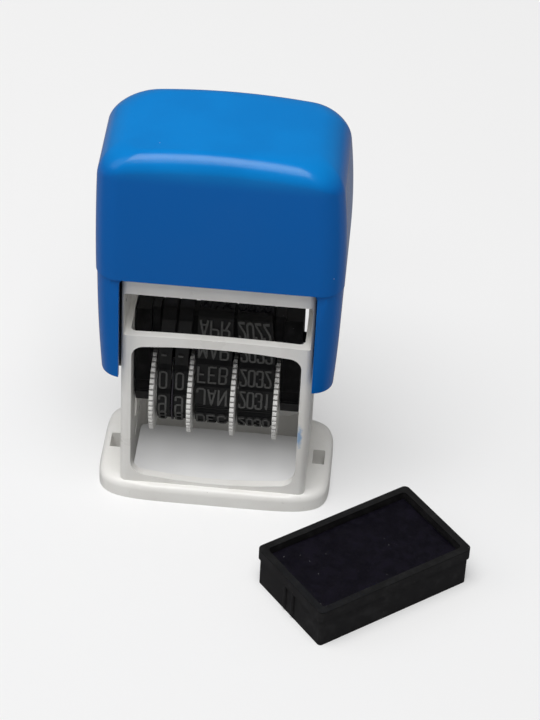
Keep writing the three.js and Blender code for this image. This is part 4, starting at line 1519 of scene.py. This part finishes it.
@dataclass
class TypeHolder:
    """The turning holder: cheeks, platen, axle and the four bands of type."""

    axle_z: float = 19.85
    hub_inner: float = 5.6
    thick: float = 0.9
    strip_soft: float = 0.12
    plate_rise: float = 0.16
    plate_sink: float = 0.2
    plate_soft: float = 0.1
    plate_inset: float = 0.02
    plate_share: float = 0.43
    relief: float = 0.5
    corner_y: float = 1.4
    corner_z: float = 38.6
    corner_radius: float = 1.5
    hub_corner: float = 0.5
    hub_flats: int = 4
    corner_steps: int = 12
    hub_steps: int = 6
    strip_steps: int = 260
    plate_steps: int = 14
    lean: float = 0.1453
    pitch: float = 5.06
    flat_pitch: float = 4.296
    first_flat: float = 26.83
    stroke: float = 0.48
    rise: float = 2.4
    stroke_sides: int = 10
    sunk: float = 0.62
    rib_row: float = 23.2
    rib_pitch: float = 0.42
    rib_inset: float = 0.3
    rib_share: float = 0.32
    day_front: tuple[float, ...] = (0.0, 6.6, 12.3, 17.9, 23.35)
    word_front: tuple[float, ...] = (0.0, 5.6, 10.4, 15.9, 20.95)
    platen_ends: Pair = (-13.0, 12.2)
    platen_reach: float = 0.26
    platen_foot: float = 32.2
    cheek_faces: Pair = (-16.1, 12.73)
    cheek_reach: Pair = (-0.62, -0.36)
    cheek_near: float = 0.3
    gather_low: float = 31.35
    gather_high: float = 39.8
    face: TypeFace = field(default_factory=TypeFace)

    def plans(self) -> list[BandPlan]:
        """The four bands, words in the order of their rows from the printing face down the front.

        Returns:
            Day tens, day units, month and year.
        """
        days = ("", "", "-", "0", *"987654321")
        months = ("MAY", "APR", "MAR", "FEB", "JAN", "DEC", "NOV", "OCT", "SEP", "AUG", "JUL", "JUN", "")
        years = (*map(str, (2023, 2022, *range(2033, 2023, -1))), "")
        day = {"width": 2.769, "text_size": (1.35, 3.65), "words": days, "slip": -0.2, "ribbed": False}
        day["rows"] = self.rows(self.day_front)
        month = {"width": 7.081, "text_size": (5.73, 3.55), "words": months, "slip": -0.15}
        year = {"width": 7.033, "text_size": (6.0, 3.55), "words": years, "slip": -0.15}
        month["rows"] = year["rows"] = self.rows(self.word_front)
        return [
            BandPlan("day_tens", hub_x=-10.648, face_x=-9.987, **day),
            BandPlan("day_units", hub_x=-7.345, face_x=-6.787, **day),
            BandPlan("month", hub_x=-0.945, face_x=-0.942, **month),
            BandPlan("year", hub_x=7.59, face_x=6.615, **year),
        ]

    def rows(self, front: tuple[float, ...]) -> tuple[float, ...]:
        """Distances of all the rows along the loop, the given ones first, then hub and back."""
        hub = tuple(self.first_flat + self.flat_pitch * i for i in range(self.hub_flats))
        return front + hub + tuple(-self.pitch * i for i in (4, 3, 2, 1))

    def loop(self) -> list[Vector]:
        """The band's neutral line in Y and Z, from the rear corner over the face to the front.

        Returns:
            The line's points.
        """
        neutral = self.thick / 2
        corner = self.corner_radius + neutral
        steps = self.corner_steps
        arcs = [
            (self.corner_y, self.corner_z, corner, self.lean, math.pi / 2, steps),
            (-self.corner_y, self.corner_z, corner, math.pi / 2, math.pi - self.lean, steps),
        ]
        turn = (math.pi + 2 * self.lean) / (self.hub_flats + 1)
        away = (self.hub_inner - self.hub_corner) / math.cos(turn / 2)
        for i in range(self.hub_flats + 1):
            start = math.pi - self.lean + turn * i
            y, z = away * math.cos(start + turn / 2), self.axle_z + away * math.sin(start + turn / 2)
            arcs.append((y, z, self.hub_corner + neutral, start, start + turn, self.hub_steps))
        points = []
        for y, z, radius, start, end, steps in arcs:
            for i in range(steps + 1):
                angle = start + (end - start) * i / steps
                points.append(Vector((0.0, y + radius * math.cos(angle), z + radius * math.sin(angle))))
        return points

    def measures(self, loop: list[Vector]) -> Pair:
        """Length of the loop, and the distance along it to the middle of the printing face."""
        spans = [(b - a).length for a, b in zip(loop, loop[1:] + loop[:1])]
        return sum(spans), sum(spans[: self.corner_steps]) + spans[self.corner_steps] / 2

    def strip(self, width: float, length: float) -> bpy.types.Mesh:
        """The plain band laid flat, its last points joined to its first.

        Args:
            width: Width of the band.
            length: Length of its loop.

        Returns:
            The mesh.
        """
        draft = Draft()
        half, soft = width / 2, self.strip_soft
        section = (
            (-half, 0.0), (half, 0.0), (half, self.thick - soft), (half - soft, self.thick),
            (soft - half, self.thick), (-half, self.thick - soft),
        )
        steps = self.strip_steps
        rings = [draft.ring((x, length * i / steps, z) for x, z in section) for i in range(steps)]
        draft.skin(rings + rings[:1])
        return draft.raw("strip")

    def plate(self, width: float) -> bpy.types.Object:
        """The flat plate that carries one row, cut so that it can bend.

        Args:
            width: Width of the band.

        Returns:
            The plate.
        """
        draft = Draft()
        half_x, half_y, soft = width / 2 - self.plate_inset, self.pitch * self.plate_share, self.plate_soft
        low, high = self.thick - self.plate_sink, self.thick + self.plate_rise
        rings = []
        for i in range(self.plate_steps + 1):
            y = half_y * (2 * i / self.plate_steps - 1)
            end = soft if i in (0, self.plate_steps) else 0.0
            rings.append(draft.ring((
                (-half_x, y, low), (half_x, y, low), (half_x, y, high - soft - end / 2),
                (half_x - soft - end, y, high - end), (soft + end - half_x, y, high - end),
                (-half_x, y, high - soft - end / 2),
            )))
        draft.skin(rings)
        draft.lids(rings[0], rings[-1])
        return stand("plate", draft.mesh("plate"))

    def wrapping(self) -> Recipe:
        """Tree that lays plates and type on a flat band and wraps it round its loop.

        Returns:
            The tree.
        """
        recipe = Recipe("wrapped_band")
        wires = recipe.wires
        holders = recipe.ask("Plate", "Type", "Loop", "Rows", kind="Object")
        plate, lines, loop, marks = (wires.shape_of(holder) for holder in holders)
        length, stroke, rise, tops = recipe.ask("Length", "Stroke", "Rise", "Tops")
        hub_x, face_x, neutral, low_z, high_z = recipe.ask(
            "Hub x", "Face x", "Neutral", "Gather low", "Gather high"
        )
        reach = wires.out("GeometryNodeInputNamedAttribute", {"data_type": "FLOAT"}, {"Name": "reach"})
        inputs = {"Points": marks, "Instance": plate, "Scale": wires.point(1.0, reach, 1.0)}
        plates = wires.out("GeometryNodeInstanceOnPoints", None, inputs)
        plates = wires.out("GeometryNodeRealizeInstances", None, {0: plates})
        inputs = {"Scale": wires.out("GeometryNodeInputRadius")}
        ridges = wires.tube(lines, stroke / 2, self.stroke_sides, inputs)
        spot = wires.out("GeometryNodeInputPosition")
        x, y, z = (wires.part(spot, axis) for axis in "XYZ")
        flat = (z * rise + tops - (stroke / 2) * rise * self.sunk).math("MINIMUM", tops)
        ridges = wires.moved(ridges, "Position", wires.point(x, y, flat))
        joined = wires.node("GeometryNodeJoinGeometry")
        for shape in (recipe.geometry(), plates, ridges):
            wires.tree.links.new(shape.socket, joined.inputs[0])
        band = wires.store(Val(wires, joined.outputs[0]), "height", z)
        inputs = {"Curves": loop, "Length": y.math("FLOORED_MODULO", length)}
        sample = wires.node("GeometryNodeSampleCurve", {"mode": "LENGTH"}, inputs)
        tangent, base = (Val(wires, sample.outputs[name]) for name in ("Tangent", "Position"))
        lift = z - neutral
        new_y = wires.part(base, "Y") + wires.part(tangent, "Z") * lift
        new_z = wires.part(base, "Z") - wires.part(tangent, "Y") * lift
        inputs = {"Value": new_z, "From Min": low_z, "From Max": high_z}
        new_x = x + hub_x + (face_x - hub_x) * wires.out("ShaderNodeMapRange", None, inputs)
        band = wires.moved(band, "Position", wires.point(new_x, new_y, new_z))
        recipe.close(band, RUBBER)
        return recipe

    def type_curve(self, plan: BandPlan, first: float) -> bpy.types.Object:
        """Every stroke of a band's type and its fine ribs, laid flat.

        Args:
            plan: The band.
            first: Distance along the loop to the middle of the printing face.

        Returns:
            The strokes.
        """
        curve = new_lines("type")
        for row, word in zip(plan.rows, plan.words):
            if word:
                self.face.write(curve, word, plan.text_size, (plan.slip, first + row))
        for i in (-1, 0, 1) if plan.ribbed else ():
            half, y = plan.width / 2 - self.rib_inset, first + self.rib_row + i * self.rib_pitch
            add_line(curve, [(-half, y, 0.0), (half, y, 0.0)], radius=self.rib_share)
        return stand("type", curve)

    def row_marks(self, plan: BandPlan, first: float) -> bpy.types.Object:
        """A point for each row, with the plate's share of its full length there.

        Args:
            plan: The band.
            first: Distance along the loop to the middle of the printing face.

        Returns:
            The points.
        """
        mesh = bpy.data.meshes.new("rows")
        mesh.from_pydata([(0.0, first + row, 0.0) for row in plan.rows], [], [])
        on_hub = [row > self.first_flat - self.flat_pitch / 2 for row in plan.rows]
        reach = mesh.attributes.new("reach", "FLOAT", "POINT")
        reach.data.foreach_set("value", [self.flat_pitch / self.pitch if flat else 1.0 for flat in on_hub])
        return stand("rows", mesh)

    def bands(self) -> None:
        """Makes the four bands."""
        recipe = self.wrapping()
        loop = self.loop()
        length, first = self.measures(loop)
        neutral_line = new_lines("loop")
        add_line(neutral_line, loop, closed=True)
        loop_line = stand("loop", neutral_line)
        sizes = {"Loop": loop_line, "Length": length, "Stroke": self.stroke, "Rise": self.rise}
        sizes |= {"Tops": self.thick + self.relief, "Neutral": self.thick / 2}
        sizes |= {"Gather low": self.gather_low, "Gather high": self.gather_high}
        for plan in self.plans():
            helpers = {
                "Plate": self.plate(plan.width),
                "Type": self.type_curve(plan, first),
                "Rows": self.row_marks(plan, first),
            }
            values = {**sizes, **helpers, "Hub x": plan.hub_x, "Face x": plan.face_x}
            strip = self.strip(plan.width, length)
            piece = recipe.bake(f"type_band_{plan.key}", strip, STAMP, values)
            for helper in helpers.values():
                bpy.data.objects.remove(helper)
            shaded(piece, angle=40.0)
            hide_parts(f"band_{plan.key}")
            settle(piece, Body.HOLDER)
        bpy.data.objects.remove(loop_line)

    def build(self) -> None:
        """Makes the holder's pieces."""
        middle = STAMP.translation.x / MM
        for side, level, reach in zip(("left", "right"), self.cheek_faces, self.cheek_reach):
            cheek = eased(f"carrier_{side}_cheek", f"holder_cheek_{side}", width=0.22)
            for vert in cheek.data.vertices:
                vert.co.x += reach * MM * (abs(vert.co.x / MM - middle - level) < self.cheek_near)
            settle(cheek, Body.HOLDER, HOLDER_BLACK)
        platen = eased("platen", "type_platen", width=0.15)
        for vert in platen.data.vertices:
            x = vert.co.x / MM - middle
            vert.co.x += self.platen_reach * MM * ((x > self.platen_ends[1]) - (x < self.platen_ends[0]))
            vert.co.z = max(vert.co.z, self.platen_foot * MM)
        settle(platen, Body.HOLDER, HOLDER_BLACK)
        settle(eased("wheel_axle", "wheel_spindle", width=0.2), Body.HOLDER, STEEL)
        spacer = eased("day_spacer_disc", "day_spacer", width=0.08, segments=1)
        settle(spacer, Body.HOLDER, SMOKED)
        self.bands()


@dataclass
class ThumbWheels:
    """Four serrated wheels with the hubs that drive the bands."""

    axle_z: float = 19.85
    radius: float = 9.5
    thick: float = 1.0
    tooth_depth: float = 0.42
    teeth: int = 51
    samples: int = 12
    land: float = 1.75
    hub: float = 5.3
    bore: float = 1.5
    chamfer: float = 0.08
    web: float = 0.55
    flank: tuple[Pair, ...] = ((0.0, 1.6), (0.5, 1.45), (0.5, 0.75), (0.4, 0.35), (1.4, 0.0))
    groove_from: float = 0.75
    groove_to: float = 0.3
    spots: tuple[tuple[str, Body, float, float], ...] = (
        ("day_tens", Body.WHEEL_DAY_TENS, -12.93, -9.344),
        ("day_units", Body.WHEEL_DAY_UNITS, -5.42, -8.544),
        ("month", Body.WHEEL_MONTH, 3.14, -4.434),
        ("year", Body.WHEEL_YEAR, 11.65, 4.147),
    )

    def blank(self, disc_x: float, hub_x: float) -> bpy.types.Mesh:
        """The wheel before its rim is serrated, turned about its axle.

        Args:
            disc_x: Middle of the disc.
            hub_x: End of the hub.

        Returns:
            The closed solid, with several rings of points for each tooth.
        """
        side = 1 if hub_x > disc_x else -1
        near, far = disc_x + side * self.thick / 2, disc_x - side * self.thick / 2
        cut, rim = side * self.chamfer, self.radius
        profile = [(far, self.bore), (far, rim * self.web)]
        profile += [(far + cut * into, rim - below) for into, below in self.flank]
        profile += [(near - cut * into, rim - below) for into, below in reversed(self.flank)]
        profile += [(near, self.hub), (hub_x, self.hub), (hub_x, self.bore)]
        draft = Draft()
        count = self.teeth * self.samples
        rings = []
        for x, radius in profile:
            angles = (math.tau * i / count for i in range(count))
            rings.append(draft.ring(
                (x, radius * math.cos(a), self.axle_z + radius * math.sin(a)) for a in angles
            ))
        draft.skin(rings + rings[:1])
        return draft.mesh("wheel_blank")

    def serrating(self) -> Recipe:
        """Tree that draws the rim in between rounded teeth.

        Returns:
            The tree.
        """
        recipe = Recipe("serrated_rim")
        wires = recipe.wires
        names = ("Teeth", "Depth", "Inner", "Outer", "Axle z", "Land")
        teeth, depth, inner, outer, axle, land = recipe.ask(*names)
        spot = wires.out("GeometryNodeInputPosition")
        y, z = wires.part(spot, "Y"), wires.part(spot, "Z") - axle
        radius = (y * y + z * z).math("SQRT")
        angle = z.math("ARCTAN2", y)
        lobe = ((angle * teeth / 2).math("COSINE").math("ABSOLUTE") * land).math("MINIMUM", 1.0)
        rim = wires.out("ShaderNodeMapRange", None, {"Value": radius, "From Min": inner, "From Max": outer})
        groove = (1 - lobe) * rim
        factor = (radius - groove * depth) / radius
        # the groove share is stored for the painted shade between the teeth
        shape = wires.store(recipe.geometry(), "groove", groove)
        shape = wires.moved(shape, "Offset", wires.point(0.0, y * factor - y, z * factor - z))
        recipe.close(shape, WHEELS)
        return recipe

    def build(self) -> None:
        """Makes the four wheels."""
        recipe = self.serrating()
        sizes = {"Teeth": float(self.teeth), "Depth": self.tooth_depth, "Axle z": self.axle_z}
        sizes |= {"Inner": self.radius - self.groove_from, "Outer": self.radius - self.groove_to}
        sizes["Land"] = self.land
        for key, body, disc_x, hub_x in self.spots:
            piece = recipe.bake(f"thumb_wheel_{key}", self.blank(disc_x, hub_x), STAMP, sizes)
            shaded(piece, angle=38.0)
            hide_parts(f"wheel_{key}")
            settle(piece, body)


@dataclass
class InkPad:
    """The tray with its soaked felt."""

    half_x: float = 16.0
    half_y: float = 9.15
    low: float = 1.8
    high: float = 7.8
    steps_x: int = 96
    steps_y: int = 56
    sunk: float = 0.06
    edge_drop: float = 0.34
    edge_run: float = 0.35
    swell: float = 0.11
    grain: float = 0.045
    swell_most: float = 0.05
    wave_scale: float = 0.22
    wave_seed: float = 3.1
    grain_scale: float = 5.0
    side_levels: tuple[float, ...] = (0.7, 0.35, 0.0)

    def top(self, x: float, y: float) -> float:
        """Level of the felt: slightly uneven, drawn down at its edges.

        Args:
            x: Place across the felt.
            y: Place along it.

        Returns:
            Its level.
        """
        inward = min(self.half_x - abs(x), self.half_y - abs(y))
        edge = self.edge_drop * math.exp(-max(inward, 0.0) / self.edge_run)
        spot = Vector((x * self.wave_scale, y * self.wave_scale, self.wave_seed))
        waves = self.swell * noise.noise(spot) + self.grain * noise.noise(spot * self.grain_scale)
        return self.high - self.sunk - edge + min(waves, self.swell_most)

    def felt(self) -> None:
        """Makes the felt block."""
        draft = Draft()
        across, along = (
            [half * math.sin(math.pi / 2 * (2 * i / steps - 1)) for i in range(steps + 1)]
            for half, steps in ((self.half_x, self.steps_x), (self.half_y, self.steps_y))
        )
        rows = [draft.ring((x, y, self.top(x, y)) for x in across) for y in along]
        for here, ahead in zip(rows, rows[1:]):
            for i in range(self.steps_x):
                draft.faces.append((here[i], here[i + 1], ahead[i + 1], ahead[i]))
        rim = rows[0] + [row[-1] for row in rows[1:]]
        rim += list(reversed(rows[-1][:-1])) + [row[0] for row in reversed(rows[1:-1])]
        levels = [rim]
        for share in self.side_levels:
            z = self.low + (self.high - self.low) * share
            levels.append(draft.ring([(*draft.points[i][:2], z) for i in rim]))
        draft.skin(levels, inward=True)
        draft.faces.append(tuple(reversed(levels[-1])))
        mesh = draft.mesh("ink_felt")
        mesh.transform(PAD)
        piece = replacing("pad_felt", "ink_felt", mesh, angle=50.0)
        settle(piece, Body.INK_PAD, FELT)

    def build(self) -> None:
        """Makes the tray and the felt."""
        settle(eased("pad_tray", "pad_case", width=0.22, segments=3), Body.INK_PAD, PAD_BLACK)
        self.felt()


@dataclass(frozen=True)
class Lamp:
    """A rectangular soft lamp aimed at the stamp, its size in metres."""

    name: str
    spot: Point
    size: Pair
    power: float
    aim: Point = (8.0, -4.0, 30.0)

    def place(self) -> None:
        """Puts the lamp into the scene."""
        light = bpy.data.lights.new(self.name, "AREA")
        light.shape = "RECTANGLE"
        light.size, light.size_y = self.size
        light.energy = self.power
        holder = stand(self.name, light)
        spot, aim = STAMP @ Vector(self.spot), STAMP @ Vector(self.aim)
        holder.location = spot
        holder.rotation_euler = (aim - spot).to_track_quat("-Z", "Y").to_euler()


@dataclass
class Studio:
    """Pale sweep, soft lamps and the camera. The floor's half width and the clips are in metres."""

    camera_spot: Point = (30.45, -405.45, 346.44)
    right: Point = (0.9956, 0.0836, 0.0417)
    up: Point = (-0.0844, 0.6130, 0.7855)
    lens: float = 130.0
    sensor: float = 36.0
    clip: Pair = (0.01, 10.0)
    floor_half: float = 1.6
    lamps: tuple[Lamp, ...] = (
        Lamp("overhead", spot=(-55.0, -225.0, 870.0), size=(0.65, 0.5), power=6.4),
        Lamp("left_key", spot=(-560.0, -150.0, 520.0), size=(0.5, 0.5), power=0.8),
        Lamp("edge_strip", spot=(0.0, -560.0, 720.0), size=(0.5, 0.1), power=0.75),
    )

    def floor(self) -> None:
        """The sweep."""
        half = self.floor_half
        corners = [(x * half, y * half, 0.0) for x, y in ((-1, -1), (1, -1), (1, 1), (-1, 1))]
        floor = stand("sweep", Draft(corners, [(0, 1, 2, 3)]).raw("sweep"))
        Sweep().dress(floor)

    def world(self) -> None:
        """Even surround, as white as the sheet to the camera and dim as a light."""
        world = bpy.data.worlds.new("surround")
        bpy.context.scene.world = world
        world.use_nodes = True
        world.node_tree.nodes.clear()
        wires = Wires(world.node_tree)
        strength = wires.ray("Camera") * (SHEET - AMBIENT) + AMBIENT
        back = wires.out("ShaderNodeBackground", None, {"Color": grey(1.0), "Strength": strength})
        wires.node("ShaderNodeOutputWorld", None, {"Surface": back})

    def camera(self) -> None:
        """The photograph's view."""
        right, up = Vector(self.right).normalized(), Vector(self.up).normalized()
        back = right.cross(up).normalized()
        data = bpy.data.cameras.new("photo_view")
        data.lens = self.lens
        data.sensor_width = self.sensor
        data.sensor_fit = "AUTO"
        data.clip_start, data.clip_end = self.clip
        camera = stand("photo_view", data)
        spot = STAMP @ Vector(self.camera_spot)
        camera.matrix_world = Matrix.Translation(spot) @ Matrix((right, up, back)).transposed().to_4x4()
        bpy.context.scene.camera = camera

    def build(self) -> None:
        """Sets up the floor, light and view."""
        self.floor()
        self.world()
        for lamp in self.lamps:
            lamp.place()
        self.camera()
        bpy.context.scene.view_settings.view_transform = "Standard"


def main() -> None:
    """Builds the stamp, its pad and the studio."""
    logging.basicConfig(level=logging.INFO, format="%(name)s: %(message)s")
    for assembly in (Studio(), Cap(), Frame(), Press(), TypeHolder(), ThumbWheels(), InkPad()):
        LOG.info("building %s", type(assembly).__name__)
        assembly.build()


if __name__ == "__main__":
    main()
